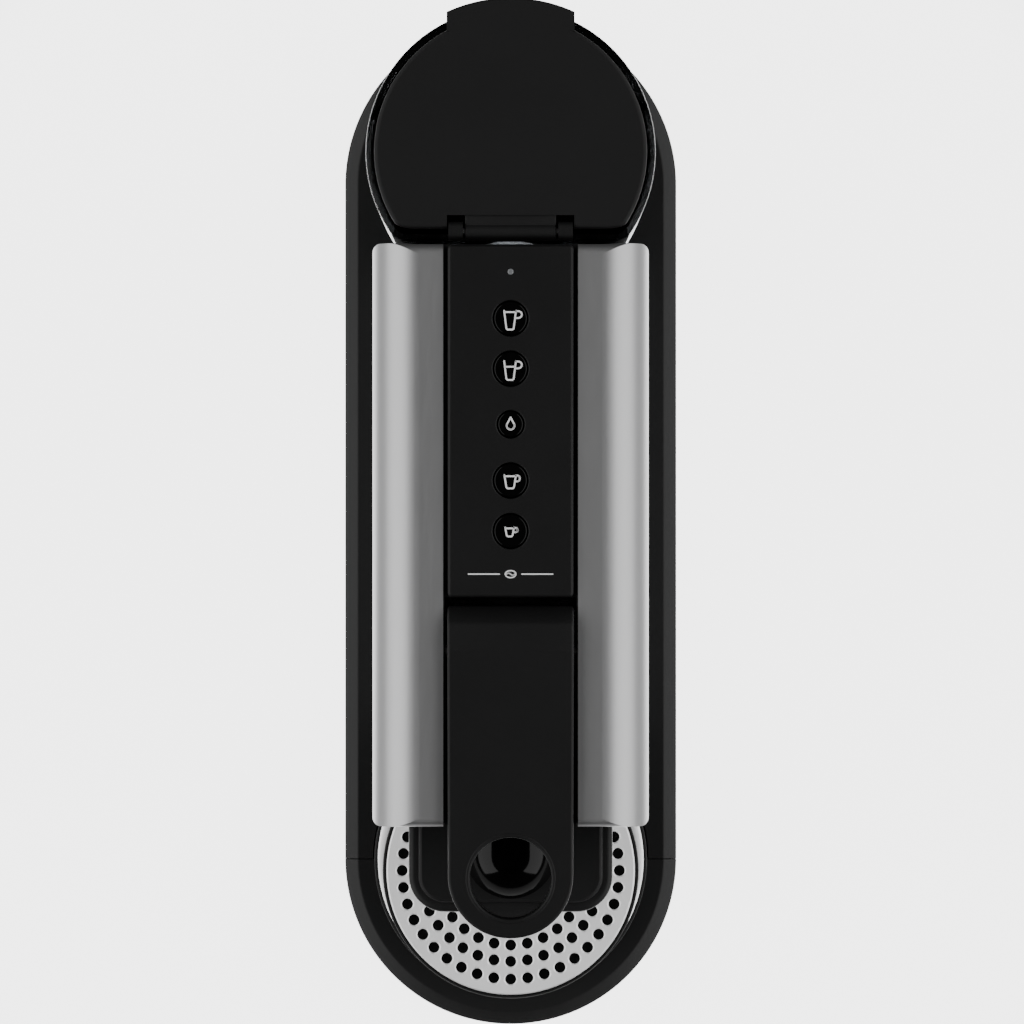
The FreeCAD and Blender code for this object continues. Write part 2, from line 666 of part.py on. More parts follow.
def thermoblock():
    body = side_block((-27.0, 27.0), (-16.0, 24.0), (196.0, 246.0), 4.0)
    for step in range(5):
        low = -12.0 + step * 7.0
        groove = box((-28.0, 28.0), (low, low + 3.0), (243.0, 247.0))
        body = body.cut(groove)
    inlet = rod(BARB_R, (0, 24.0, INLET_PIPE_Z), (0, 30.0, INLET_PIPE_Z))
    return body.fuse(inlet).removeSplitter()


node("brew_frame", brew_frame())
node("lever_shaft", lever_shaft())
node("injection_head", injection_head())
node("hot_water_tube", rod(FEED_R, (0, -30.0, BREW_Z), (0, -16.0, BREW_Z)))
node("capsule_funnel", capsule_funnel())
node("capsule_chute", capsule_chute())
node("clamp_carriage", clamp_carriage())
node("clamp_plate", clamp_plate())
node("thermoblock", thermoblock())


# ---- water circuit ------------------------------------------------------------------
PUMP_Y = 50.0
PUMP_R = 11.0
METER_Z = 50.0
HOSE_WALL = 1.4
PRESSURE_R = 3.0           # bore of the pressure hose


def pump():
    body = disc(PUMP_R, PUMP_Y, (84.0, 140.0))
    coil = plan_block((-19.0, 19.0), (PUMP_Y - 17.0, PUMP_Y + 17.0), (94.0, 130.0), 3.0)
    inlet = disc(BARB_R, PUMP_Y, (74.0, 84.0))
    outlet = disc(PRESSURE_R, PUMP_Y, (140.0, 150.0))
    return body.fuse([coil, inlet, outlet]).removeSplitter()


def pump_mounts():
    """Rubber rings that hang the pump between the housing's side walls."""
    mounts = []
    for z in (87.0, 135.0):
        reach = INNER_X - WALL
        bar = box((-reach, reach), (PUMP_Y - 5.0, PUMP_Y + 5.0), (z, z + 4.0))
        ring = disc(15.0, PUMP_Y, (z, z + 4.0))
        mounts.append(bar.fuse(ring).cut(disc(PUMP_R, PUMP_Y, (z - EPS, z + 5.0))).removeSplitter())
    return Part.makeCompound(mounts)


def flow_meter():
    body = rod(11.0, (-7.0, METER_Y - 4.0, METER_Z), (7.0, METER_Y - 4.0, METER_Z))
    below = disc(BARB_R, METER_Y, (34.0, 44.0))
    ahead = rod(BARB_R, (0, 62.0, METER_Z + 2.0), (0, 72.0, METER_Z + 2.0))
    return body.fuse([below, ahead]).removeSplitter()


def hose(points, bends, bore):
    outer = pipe(points, bends, bore + HOSE_WALL)
    return outer.cut(pipe(points, bends, bore))


node("pump", pump())
node("pump_mounts", pump_mounts())
node("flow_meter", flow_meter())
node("suction_hose", hose([(0, VALVE_Y - 6.5, SEAT_BARB_Z), (0, METER_Y, SEAT_BARB_Z),
                           (0, METER_Y, 38.5)], 8.0, BARB_R))
node("feed_hose", hose([(0, 66.0, METER_Z + 2.0), (0, PUMP_Y, METER_Z + 2.0), (0, PUMP_Y, 80.0)],
                       8.0, BARB_R))
node("pressure_hose", hose([(0, PUMP_Y, 144.0), (0, PUMP_Y, INLET_PIPE_Z), (0, 27.0, INLET_PIPE_Z)],
                           9.0, PRESSURE_R))
node("mains_wires", pipe([(INLET_X, 178.0, INLET_Z), (WIRE_X, 130.0, INLET_Z),
                          (WIRE_X, METER_Y, INLET_Z), (WIRE_X, METER_Y, 236.0),
                          (12.0, METER_Y, 244.0), (12.0, METER_Y, 249.4)],
                         3.5, 2.2))


# ---- lever --------------------------------------------------------------------------
FRONT_X = 22.2             # half-width of the lever at its round front end


def drive_arm(grow):
    """Right-hand crank plate inside the lever's barrel, with its drive pin."""
    x = (17.2 - grow, 20.8 + grow)
    hub = rod(7.0 + grow, (x[0], PIVOT_Y, PIVOT_Z), (x[1], PIVOT_Y, PIVOT_Z))
    tip = rod(4.0 + grow, (x[0], PIN_Y, PIN_Z), (x[1], PIN_Y, PIN_Z))
    arm = box(x, (PIVOT_Y - 4.0 - grow, PIVOT_Y + 4.0 + grow), (PIVOT_Z - ARM_R, PIVOT_Z))
    arm = turned(arm, (0, PIVOT_Y, PIVOT_Z), X_AXIS, 45)
    return hub.fuse([tip, arm])


def drive_arms():
    pin = rod(PIN_R, (17.2, PIN_Y, PIN_Z), (RAIL_X[1] + 0.2, PIN_Y, PIN_Z))
    arm = drive_arm(0).fuse(pin).removeSplitter()
    arm = arm.cut(rod(SHAFT_R + 0.06, (0, PIVOT_Y, PIVOT_Z), (40, PIVOT_Y, PIVOT_Z)))
    return pair(arm)


def lever_handle():
    tip = FRONT_X - 0.05
    low, high = LEVER_Z
    edge = 1.0
    body = plan_prism([(-LEVER_X, PIVOT_Y, 0), (LEVER_X, PIVOT_Y, 0),
                       (FRONT_X, LEVER_FRONT, tip), (-FRONT_X, LEVER_FRONT, tip)],
                      (low, high - edge))
    top = plan_prism([(-LEVER_X + edge, PIVOT_Y, 0), (LEVER_X - edge, PIVOT_Y, 0),
                      (FRONT_X - edge, LEVER_FRONT + edge, tip - edge),
                      (-FRONT_X + edge, LEVER_FRONT + edge, tip - edge)], (high - edge, high))
    barrel = rod(BARREL_R, (-LEVER_X + edge, PIVOT_Y, PIVOT_Z), (LEVER_X - edge, PIVOT_Y, PIVOT_Z))
    cheeks = rod(BARREL_R - edge, (-LEVER_X, PIVOT_Y, PIVOT_Z), (LEVER_X, PIVOT_Y, PIVOT_Z))
    corner = rod(CORNER_R, (-LEVER_X + edge, PIVOT_Y, PIVOT_Z), (LEVER_X - edge, PIVOT_Y, PIVOT_Z))
    corner = corner.common(box((-LEVER_X, LEVER_X), (PIVOT_Y, PIVOT_Y + BARREL_R),
                               (PIVOT_Z, high)))
    solid = body.fuse([top, barrel, cheeks, corner]).removeSplitter()
    solid = solid.cut(rod(12.5, (-15.5, PIVOT_Y, PIVOT_Z), (15.5, PIVOT_Y, PIVOT_Z)))
    solid = solid.fuse(rod(5.0, (-16.0, PIVOT_Y, PIVOT_Z), (16.0, PIVOT_Y, PIVOT_Z)))
    slot = drive_arm(0.15)
    solid = solid.cut(slot).cut(mirrored(slot))
    solid = solid.cut(rod(PIN_R + 0.15, (-LEVER_X, PIN_Y, PIN_Z), (LEVER_X, PIN_Y, PIN_Z)))
    solid = solid.cut(disc(FINGER_R, FINGER_Y, (low - EPS, high + EPS)))
    bore = rod(SHAFT_R + 0.06, (-40, PIVOT_Y, PIVOT_Z), (40, PIVOT_Y, PIVOT_Z))
    return solid.cut(bore).removeSplitter()


def finger_ring():
    low, high = LEVER_Z
    ring = disc(FINGER_R, FINGER_Y, (low, high + 0.2))
    return ring.cut(disc(FINGER_IN, FINGER_Y, (low - EPS, high + EPS)))


node("lever_handle", lever_handle())
node("finger_ring", finger_ring())
node("drive_arms", drive_arms())


# ---- used-capsule container and folding cup support ---------------------------------
CONTAINER_X = 30.6
CONTAINER_Y = (COLUMN_Y + 0.6, -8.0)
CONTAINER_Z = (33.9, 148.0)
LUG_X = (12.0, 16.0)


def capsule_container():
    body = plan_block((-CONTAINER_X, CONTAINER_X), CONTAINER_Y, CONTAINER_Z, 3.0)
    hollow = plan_block((-CONTAINER_X + 2, CONTAINER_X - 2),
                        (CONTAINER_Y[0] + 2, CONTAINER_Y[1] - 2),
                        (CONTAINER_Z[0] + 2, CONTAINER_Z[1] + EPS), 2.0)
    return body.cut(hollow)


def container_front():
    """Cover plate with a thumb recess and the two lugs of the cup support's hinge."""
    face = COLUMN_Y - 2.0
    plate = front_prism([(-31.4, 34.2, 3.0), (31.4, 34.2, 3.0), (31.4, 151.4, 3.0),
                         (-31.4, 151.4, 3.0)], (face, CONTAINER_Y[0]))
    thumb = rod(30.0, (0, face - 28.0, 160.0), (0, face - 28.0, 120.0))
    plate = plate.cut(thumb)
    lugs = []
    for side in (-1, 1):
        x = sorted((side * LUG_X[0], side * LUG_X[1]))
        lug = rod(4.0, (x[0], HINGE_Y, HINGE_Z), (x[1], HINGE_Y, HINGE_Z))
        block = box(x, (HINGE_Y, face + EPS), (HINGE_Z - 4.0, HINGE_Z + 4.0))
        lugs.append(lug.fuse(block))
    solid = plate.fuse(lugs).removeSplitter()
    return solid.cut(rod(HINGE_PIN_R, (-20, HINGE_Y, HINGE_Z), (20, HINGE_Y, HINGE_Z)))


def support_carrier():
    """Black dish under the perforated plate, hinged at its rear edge."""
    low, high = SUPPORT_Z
    dish = disc(SUPPORT_R, SUPPORT_Y, (low, high + 1.0))
    dish = dish.cut(disc(SUPPORT_R - 1.0, SUPPORT_Y, (high - 0.4, high + 2.0)))
    dish = dish.cut(disc(SUPPORT_R - 3.0, SUPPORT_Y, (low + 1.6, high + 2.0)))
    dish = dish.cut(disc(4.0, SUPPORT_Y, (low - EPS, low + 3.0)))
    for side in (-1, 1):
        x = sorted((side * (LUG_X[0] - 0.4), side * (LUG_X[1] + 0.8)))
        dish = dish.cut(box(x, (HINGE_Y - 5.0, -80.0), (low - EPS, high + 4.0)))
    x = (-LUG_X[0] + 0.4, LUG_X[0] - 0.4)
    knuckle = rod(3.6, (x[0], HINGE_Y, HINGE_Z), (x[1], HINGE_Y, HINGE_Z))
    arm = box(x, (SUPPORT_Y + SUPPORT_R - 2.6, HINGE_Y), (low, HINGE_Z + 2.0))
    recess = disc(SUPPORT_R - 1.0, SUPPORT_Y, (high - 0.4, high + 4.0))
    solid = dish.fuse([knuckle, arm]).cut(recess)
    bore = rod(HINGE_PIN_R + 0.06, (-20, HINGE_Y, HINGE_Z), (20, HINGE_Y, HINGE_Z))
    return solid.cut(bore).removeSplitter()


def cup_grid():
    """Perforated plate in rings of round holes."""
    high = SUPPORT_Z[1]
    plate = disc(SUPPORT_R - 1.4, SUPPORT_Y, (high - 0.4, high + 1.4))
    holes = []
    for radius, count in HOLE_RINGS:
        for index in range(count):
            angle = math.radians(-90 + index * 360.0 / count)
            x, y = radius * math.cos(angle), SUPPORT_Y + radius * math.sin(angle)
            holes.append(disc(HOLE_R, y, (high - EPS, high + 2.0), x))
    return plate.cut(Part.makeCompound(holes))


node("capsule_container", capsule_container())
node("container_front", container_front())
node("support_hinge_pin", rod(HINGE_PIN_R, (-LUG_X[1], HINGE_Y, HINGE_Z),
                              (LUG_X[1], HINGE_Y, HINGE_Z)))
node("support_carrier", support_carrier())
node("cup_grid", cup_grid())


# ---- water tank ---------------------------------------------------------------------
VALVE_R = 9.5
BRACKET_X = 22.2


def water_tank():
    low, high = COLUMN_FOOT + 0.4, TANK_Z[1]
    floor = TANK_Z[0] + 1.0
    outer = d_shape(TANK_R, TANK_FRONT, (low, high))
    inner = d_shape(TANK_R - TANK_T, TANK_FRONT + TANK_T, (floor + 3.0, high + EPS))
    under = d_shape(TANK_R - TANK_T, TANK_FRONT + TANK_T, (low - EPS, floor))
    solid = outer.cut(inner).cut(under)
    return solid.cut(disc(VALVE_R, VALVE_Y, (floor - EPS, floor + 3.0 + EPS)))


def tank_valve():
    """Valve housing in the tank's floor: a socket below, a spring chamber above."""
    floor = TANK_Z[0] + 1.0
    body = disc(VALVE_R, VALVE_Y, (25.4, 44.0))
    flange = disc(12.0, VALVE_Y, (floor + 3.0, floor + 5.0))
    solid = body.fuse(flange).removeSplitter()
    solid = solid.cut(disc(7.5, VALVE_Y, (25.0, 32.4)))
    solid = solid.cut(disc(2.2, VALVE_Y, (32.0, 36.0)))
    return solid.cut(disc(6.0, VALVE_Y, (34.4, 45.0)))


def valve_poppet():
    stem = disc(1.1, VALVE_Y, (32.3, 42.0))
    return stem.fuse(disc(4.6, VALVE_Y, (35.4, 37.0))).removeSplitter()


def valve_return_cone():
    """Soft hollow cone that presses the poppet back onto its seat."""
    low, high = 37.1, 43.7
    outer = Part.makeCone(4.6, 3.0, high - low, V(0, VALVE_Y, low))
    inner = Part.makeCone(3.8, 2.2, high - low, V(0, VALVE_Y, low))
    return outer.cut(inner)


def tank_strainer():
    cap = disc(8.4, VALVE_Y, (44.0, 56.0)).cut(disc(7.4, VALVE_Y, (45.0, 55.0)))
    for index in range(6):
        angle = math.radians(index * 60)
        x, y = 4.6 * math.cos(angle), VALVE_Y + 4.6 * math.sin(angle)
        cap = cap.cut(disc(1.3, y, (43.0, 46.0), x))
    for index in range(6):
        slot = box((-9.0, 9.0), (VALVE_Y - 1.0, VALVE_Y + 1.0), (46.0, 53.0))
        cap = cap.cut(turned(slot, (0, VALVE_Y, 0), Z_AXIS, 15 + index * 30))
    return cap


def lid_bracket():
    """Hinge bracket clipped behind the tank's front wall, with a lug at each end."""
    back = TANK_FRONT + TANK_T + 0.1
    rim = TANK_Z[1]
    plate = box((-BRACKET_X, BRACKET_X), (back, back + 2.2), (250.0, rim))
    saddle = box((-BRACKET_X, BRACKET_X), (TANK_FRONT, back + 2.2), (rim, rim + 0.6))
    lug = side_block((17.0, BRACKET_X), (TANK_FRONT + 0.2, 107.3), (rim + 0.2, 269.2), 2.4)
    solid = plate.fuse([saddle, lug, mirrored(lug)]).removeSplitter()
    return solid.cut(rod(LID_PIN_R, (-30, LID_HINGE_Y, LID_HINGE_Z), (30, LID_HINGE_Y, LID_HINGE_Z)))


def tank_lid():
    low, high = LID_Z
    plate = d_shape(LID_R, LID_FRONT, (low, high))
    tab = disc(TAB_R, TANK_Y, (low + 1.0, high))
    tab = tab.common(box((-TAB_X, TAB_X), (TANK_Y, TANK_Y + TAB_R + EPS), (low, high)))
    notch = plan_block((-RECESS_X, RECESS_X), (LID_FRONT - 10, RECESS_Y), (low - 1, high + 1), 1.5)
    skirt = disc(LID_R - 0.5, TANK_Y, (low - 5.0, low)).cut(disc(LID_R - 2.5, TANK_Y, (low - 6, low)))
    skirt = skirt.common(box((-60, 60), (119.0, 200.0), (low - 6.0, low)))
    knuckle = rod(2.9, (-16.3, LID_HINGE_Y, LID_HINGE_Z), (16.3, LID_HINGE_Y, LID_HINGE_Z))
    web = box((-16.3, 16.3), (LID_HINGE_Y, RECESS_Y + EPS), (LID_HINGE_Z - 1.8, LID_HINGE_Z + 2.0))
    solid = plate.fuse([tab, skirt]).cut(notch).fuse([knuckle, web]).removeSplitter()
    bore = rod(LID_PIN_R + 0.06, (-30, LID_HINGE_Y, LID_HINGE_Z), (30, LID_HINGE_Y, LID_HINGE_Z))
    return solid.cut(bore)


node("water_tank", water_tank())
node("tank_valve", tank_valve())
node("valve_poppet", valve_poppet())
node("valve_return_cone", valve_return_cone())
node("tank_strainer", tank_strainer())
node("lid_bracket", lid_bracket())
node("lid_hinge_pin", rod(LID_PIN_R, (-BRACKET_X, LID_HINGE_Y, LID_HINGE_Z),
                                (BRACKET_X, LID_HINGE_Y, LID_HINGE_Z)))
node("tank_lid", tank_lid())


os.makedirs("parts", exist_ok=True)
for name, shape in NODES.items():
    if not shape.isValid() or shape.Volume <= 0:
        print("bad solid:", name, shape.isValid(), round(shape.Volume, 2))
    shape.exportStep(os.path.join("parts", name + ".step"))
print(len(NODES), "nodes written")
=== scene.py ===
"""Looks of a slim pod coffee machine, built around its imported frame. Metres, Z up, front -Y."""
import json
import math
import bmesh
import bpy
from mathutils import Matrix, Vector


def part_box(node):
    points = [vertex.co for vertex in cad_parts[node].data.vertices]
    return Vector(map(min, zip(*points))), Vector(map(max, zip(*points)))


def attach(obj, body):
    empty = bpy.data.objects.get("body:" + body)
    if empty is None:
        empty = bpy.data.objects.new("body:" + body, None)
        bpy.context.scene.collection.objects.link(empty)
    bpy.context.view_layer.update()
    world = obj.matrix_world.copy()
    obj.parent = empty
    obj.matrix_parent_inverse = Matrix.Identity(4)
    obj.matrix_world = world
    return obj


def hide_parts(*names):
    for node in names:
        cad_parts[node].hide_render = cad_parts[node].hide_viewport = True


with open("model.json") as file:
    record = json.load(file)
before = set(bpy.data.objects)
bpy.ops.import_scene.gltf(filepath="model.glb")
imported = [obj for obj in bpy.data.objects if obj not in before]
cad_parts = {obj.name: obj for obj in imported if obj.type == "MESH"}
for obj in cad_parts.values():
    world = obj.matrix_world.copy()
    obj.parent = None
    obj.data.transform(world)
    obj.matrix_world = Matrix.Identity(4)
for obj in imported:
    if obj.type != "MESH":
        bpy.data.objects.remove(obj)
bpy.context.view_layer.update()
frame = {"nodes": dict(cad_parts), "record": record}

MM = 0.001
NODES = frame["nodes"]


# ---- camera -------------------------------------------------------------------------
CAMERA_HEIGHT = 2.7           # above the base's widest line
CAMERA_FIELD = 0.4031         # width of the view at that height
BASE_LINE_Z = 12 * MM


def place_camera():
    data = bpy.data.cameras.new("camera")
    data.sensor_width = 36.0
    data.lens = data.sensor_width * CAMERA_HEIGHT / CAMERA_FIELD
    data.clip_end = 20.0
    camera = bpy.data.objects.new("camera", data)
    camera.location = (0.5 * MM, 3.8 * MM, CAMERA_HEIGHT + BASE_LINE_Z)
    bpy.context.scene.collection.objects.link(camera)
    bpy.context.scene.camera = camera


place_camera()


# ---- shader helpers -----------------------------------------------------------------
class Value:
    """A shader socket that takes part in Python arithmetic."""

    def __init__(self, finish, socket):
        self.finish = finish
        self.socket = socket

    def math(self, operation, first, second):
        return self.finish.node("ShaderNodeMath", {"operation": operation}, {0: first, 1: second})

    def __add__(self, other):
        return self.math("ADD", self, other)

    def __radd__(self, other):
        return self.math("ADD", other, self)

    def __mul__(self, other):
        return self.math("MULTIPLY", self, other)

    def __rmul__(self, other):
        return self.math("MULTIPLY", other, self)


class Finish:
    """A material with one Principled shader and the nodes that feed it."""

    def __init__(self, name, **constants):
        self.material = bpy.data.materials.new(name)
        self.material.use_nodes = True
        self.tree = self.material.node_tree
        self.shader = self.tree.nodes["Principled BSDF"]
        for key, value in constants.items():
            self.set(key.replace("_", " ").title().replace("Ior", "IOR"), value)

    def set(self, socket_name, value):
        socket = self.shader.inputs[socket_name]
        if isinstance(value, Value):
            self.tree.links.new(value.socket, socket)
        elif socket.type == "RGBA":
            socket.default_value = (*value[:3], 1.0)
        else:
            socket.default_value = value

    def node(self, kind, settings=None, inputs=None, output=0):
        made = self.tree.nodes.new(kind)
        for key, value in (settings or {}).items():
            setattr(made, key, value)
        for key, value in (inputs or {}).items():
            if isinstance(value, Value):
                self.tree.links.new(value.socket, made.inputs[key])
            else:
                made.inputs[key].default_value = value
        return Value(self, made.outputs[output])

    def place(self):
        return self.node("ShaderNodeTexCoord", output="Object")

    def noise(self, per_metre, detail=3.0, rough=0.5, stretch=None):
        where = self.place()
        if stretch:
            where = self.node("ShaderNodeMapping", None, {"Vector": where, "Scale": stretch})
        return self.node("ShaderNodeTexNoise", None, {"Vector": where, "Scale": per_metre,
                                                      "Detail": detail, "Roughness": rough})

    def mix(self, share, first, second):
        return self.node("ShaderNodeMix", {"data_type": "RGBA"},
                         {0: share, 6: (*first[:3], 1.0), 7: (*second[:3], 1.0)}, 2)

    def bump(self, height, depth, strength=1.0):
        normal = self.node("ShaderNodeBump", None, {"Height": height, "Distance": depth,
                                                    "Strength": strength})
        self.set("Normal", normal)


def moulded_plastic(name, shade, roughness, grain=0.05 * MM, per_metre=2600.0):
    """Satin moulded plastic: fine spark-eroded grain, faint handling marks."""
    dark = [shade * 0.82] * 3
    light = [shade * 1.2, shade * 1.2, shade * 1.23]
    finish = Finish(name, specular_ior_level=0.24)
    handling = finish.noise(28.0, 4.0, 0.6)
    fine = finish.noise(per_metre, 2.0, 0.6)
    finish.set("Base Color", finish.mix(handling, dark, light))
    finish.set("Roughness", roughness - 0.05 + handling * 0.07 + fine * 0.05)
    finish.bump(fine, grain, 0.35)
    return finish.material


def gloss_plastic(name, shade, roughness=0.07):
    """Polished plastic with a faint orange peel and a few wipe marks."""
    finish = Finish(name, specular_ior_level=0.16)
    wipe = finish.noise(40.0, 5.0, 0.65, (1.0, 0.25, 1.0))
    peel = finish.noise(260.0, 1.0, 0.4)
    finish.set("Base Color", finish.mix(wipe, [shade * 0.8] * 3, [shade * 1.3] * 3))
    finish.set("Roughness", roughness + wipe * 0.05)
    finish.bump(peel, 0.02 * MM, 0.12)
    return finish.material


def silver_paint():
    """Satin silver: tiny metal flakes in a fine draw grain."""
    finish = Finish("silver_satin", metallic=0.92)
    flake = finish.noise(5200.0, 2.0, 0.7)
    grain = finish.noise(900.0, 3.0, 0.6, (1.0, 0.06, 1.0))
    soft = finish.noise(9.0, 3.0, 0.5)
    finish.set("Base Color", finish.mix(flake * 0.7 + soft * 0.3, (0.36, 0.36, 0.362),
                                        (0.43, 0.43, 0.433)))
    finish.set("Roughness", 0.35 + flake * 0.06 + grain * 0.06)
    finish.bump(flake + grain * 0.5, 0.012 * MM, 0.25)
    return finish.material


def bright_metal(name, shade, roughness, brushed=0.0):
    """Plated or polished metal with faint polishing lines."""
    finish = Finish(name, metallic=1.0)
    lines = finish.noise(700.0, 4.0, 0.6, (1.0, 0.08, 1.0) if brushed else None)
    haze = finish.noise(60.0, 3.0, 0.6)
    finish.set("Base Color", finish.mix(haze, [shade * 0.93] * 3, [shade * 1.04] * 3))
    finish.set("Roughness", roughness + haze * 0.05 + lines * (0.03 + brushed))
    finish.bump(lines, 0.01 * MM, 0.1 + brushed)
    return finish.material


def smoke_clear():
    """Clear tank plastic with a smoke tint and hardly visible flow marks."""
    finish = Finish("smoke_clear_plastic", base_color=(0.30, 0.31, 0.32), ior=1.49,
                    transmission_weight=1.0)
    flow = finish.noise(18.0, 3.0, 0.5, (1.0, 1.0, 0.3))
    finish.set("Roughness", 0.004 + flow * 0.008)
    finish.bump(flow, 0.04 * MM, 0.03)
    return finish.material


def tinted(name, colour, roughness, per_metre=900.0, metallic=0.0):
    """Any other moulded, cast or printed part: two-tone colour and a fine surface."""
    finish = Finish(name, metallic=metallic)
    cloud = finish.noise(45.0, 4.0, 0.6)
    fine = finish.noise(per_metre, 3.0, 0.6)
    dark, light = [c * 0.86 for c in colour], [c * 1.1 for c in colour]
    finish.set("Base Color", finish.mix(cloud, dark, light))
    finish.set("Roughness", roughness + fine * 0.08)
    finish.bump(fine, 0.04 * MM, 0.25)
    return finish.material


def icon_paint():
    """White pad print, a little uneven in cover."""
    finish = Finish("white_print")
    cover = finish.noise(1500.0, 3.0, 0.6)
    finish.set("Base Color", finish.mix(cover, (0.70, 0.70, 0.70), (0.86, 0.86, 0.86)))
    finish.set("Roughness", 0.42 + cover * 0.1)
    return finish.material


def lamp_lens():
    finish = Finish("lamp_lens", emission_strength=0.05)
    cloud = finish.noise(900.0, 2.0, 0.5)
    finish.set("Base Color", finish.mix(cloud, (0.10, 0.105, 0.11), (0.15, 0.155, 0.16)))
    finish.set("Emission Color", finish.mix(cloud, (0.3, 0.31, 0.32), (0.4, 0.41, 0.42)))
    finish.set("Roughness", 0.2 + cloud * 0.1)
    return finish.material


SATIN = moulded_plastic("satin_black_plastic", 0.0036, 0.50)
RIM = moulded_plastic("base_black_plastic", 0.0062, 0.48)
LID = moulded_plastic("lid_black_plastic", 0.0040, 0.58)
INNER = moulded_plastic("inner_black_plastic", 0.0028, 0.55)
GLOSS = gloss_plastic("gloss_black_plastic", 0.0016)
SILVER = silver_paint()
CHROME = bright_metal("grid_chrome", 0.98, 0.55)
TRIM = bright_metal("dark_trim_metal", 0.16, 0.22)
STEEL = bright_metal("plain_steel", 0.55, 0.26, 0.1)
SMOKE = smoke_clear()
RUBBER = tinted("black_rubber", (0.012, 0.012, 0.012), 0.72)
SILICONE = tinted("hose_silicone", (0.62, 0.61, 0.58), 0.38)
WHITE_PLASTIC = tinted("white_moulding", (0.60, 0.60, 0.57), 0.42)
ALUMINIUM = tinted("cast_aluminium", (0.58, 0.58, 0.59), 0.42, 1400.0, 1.0)
BRASS = tinted("turned_brass", (0.62, 0.45, 0.20), 0.26, 1400.0, 1.0)
BOARD = tinted("board_green", (0.02, 0.12, 0.05), 0.36)
ICON = icon_paint()
LENS = lamp_lens()

SLOT_FINISH = {"satin_black": INNER, "gloss_black": GLOSS, "silver_paint": SILVER,
               "chrome": CHROME, "dark_trim": TRIM, "smoke_clear": SMOKE,
               "light_diffuser": LENS, "steel": STEEL, "aluminium": ALUMINIUM, "brass": BRASS,
               "rubber": RUBBER, "silicone": SILICONE, "inner_plastic": WHITE_PLASTIC,
               "circuit_board": BOARD, "wire_sleeve": RUBBER}


def dress_frame_nodes():
    """Give each carried-over node its slot's finish."""
    for part in frame["record"]["subparts"]:
        mesh = NODES[part["node"]].data
        mesh.materials.clear()
        mesh.materials.append(SLOT_FINISH[part["material_slot"]])


# ---- mesh helpers -------------------------------------------------------------------
UP = Vector((0, 0, 1))
REARWARD, FORWARD = Vector((0, 1, 0)), Vector((0, -1, 0))
FINE = 96                     # segments round a large circle
SHARP = math.radians(32)


def loop_edges(verts):
    inside = set(verts)
    found = {edge for vert in verts for edge in vert.link_edges}
    return [edge for edge in found if set(edge.verts) <= inside]


def circle(radius, x=0.0, y=0.0, segments=FINE):
    """An outline: a function of (bmesh, inset, z) that draws one closed loop."""
    def draw(bm, inset, z):
        spot = Matrix.Translation((x, y, z))
        made = bmesh.ops.create_circle(bm, radius=radius - inset, segments=segments, matrix=spot)
        return loop_edges(made["verts"])
    return draw


def racetrack(radius, reach, segments=128):
    """Two half-rounds joined by straight sides."""
    def draw(bm, inset, z):
        turn = Matrix.Rotation(math.pi / segments, 4, "Z")
        made = bmesh.ops.create_circle(bm, radius=radius - inset, segments=segments, matrix=turn)
        for vert in made["verts"]:
            vert.co.y += math.copysign(reach, vert.co.y)
            vert.co.z = z
        return loop_edges(made["verts"])
    return draw


def corners(points, segments=8):
    """A polygon of (x, y, corner radius, inward x, inward y), its corners rounded."""
    def draw(bm, inset, z):
        before = set(bm.verts)
        spots = [(x + inset * ix, y + inset * iy, z) for x, y, _, ix, iy in points]
        verts = [bm.verts.new(spot) for spot in spots]
        bm.faces.new(verts)
        for vert, point in zip(verts, points):
            reach = point[2] - inset
            if reach > 0.05 * MM:
                bmesh.ops.bevel(bm, geom=[vert], offset=reach, offset_type="OFFSET",
                                segments=segments, profile=0.5, affect="VERTICES", material=-1)
        made = [vert for vert in bm.verts if vert not in before]
        edges = loop_edges(made)
        bmesh.ops.delete(bm, geom=[f for f in bm.faces if set(f.verts) <= set(made)],
                         context="FACES_ONLY")
        return edges
    return draw


def block(x0, x1, y0, y1, front=0.0, rear=0.0, segments=8):
    """A rectangle with its own corner radius at the front and at the rear."""
    return corners([(x0, y0, front, 1, 1), (x1, y0, front, -1, 1),
                    (x1, y1, rear, -1, -1), (x0, y1, rear, 1, -1)], segments)


def d_line(radius, centre_y, front, steps=88, corner=4 * MM):
    """A circle cut off flat in front, the two corners rounded."""
    def draw(bm, inset, z):
        before = set(bm.verts)
        size, flat = radius - inset, front + inset
        start = math.asin((flat - centre_y) / size)
        first = bm.verts.new((size * math.cos(start), flat, z))
        bmesh.ops.spin(bm, geom=[first], cent=(0, centre_y, z), axis=UP, dvec=(0, 0, 0),
                       angle=math.pi - 2 * start, steps=steps, use_merge=False)
        made = [vert for vert in bm.verts if vert not in before]
        ends = [vert for vert in made if len(vert.link_edges) == 1]
        bm.edges.new(ends)
        bmesh.ops.contextual_create(bm, geom=loop_edges(made))
        bmesh.ops.bevel(bm, geom=ends, offset=max(corner - inset, 0.5 * MM), offset_type="OFFSET",
                        segments=6, profile=0.5, affect="VERTICES", material=-1)
        made = [vert for vert in bm.verts if vert not in before]
        edges = loop_edges(made)
        bmesh.ops.delete(bm, geom=[f for f in bm.faces if set(f.verts) <= set(made)],
                         context="FACES_ONLY")
        return edges
    return draw


def fill(bm, edges, holed):
    """Close a loop with one face, or with triangles where holes lie in it."""
    if holed:
        made = bmesh.ops.triangle_fill(bm, use_beauty=True, use_dissolve=False, edges=edges,
                                       normal=UP)["geom"]
    else:
        made = bmesh.ops.contextual_create(bm, geom=edges)["faces"]
    caps = [item for item in made if isinstance(item, bmesh.types.BMFace)]
    bmesh.ops.inset_region(bm, faces=caps, thickness=0.12 * MM, use_even_offset=True)


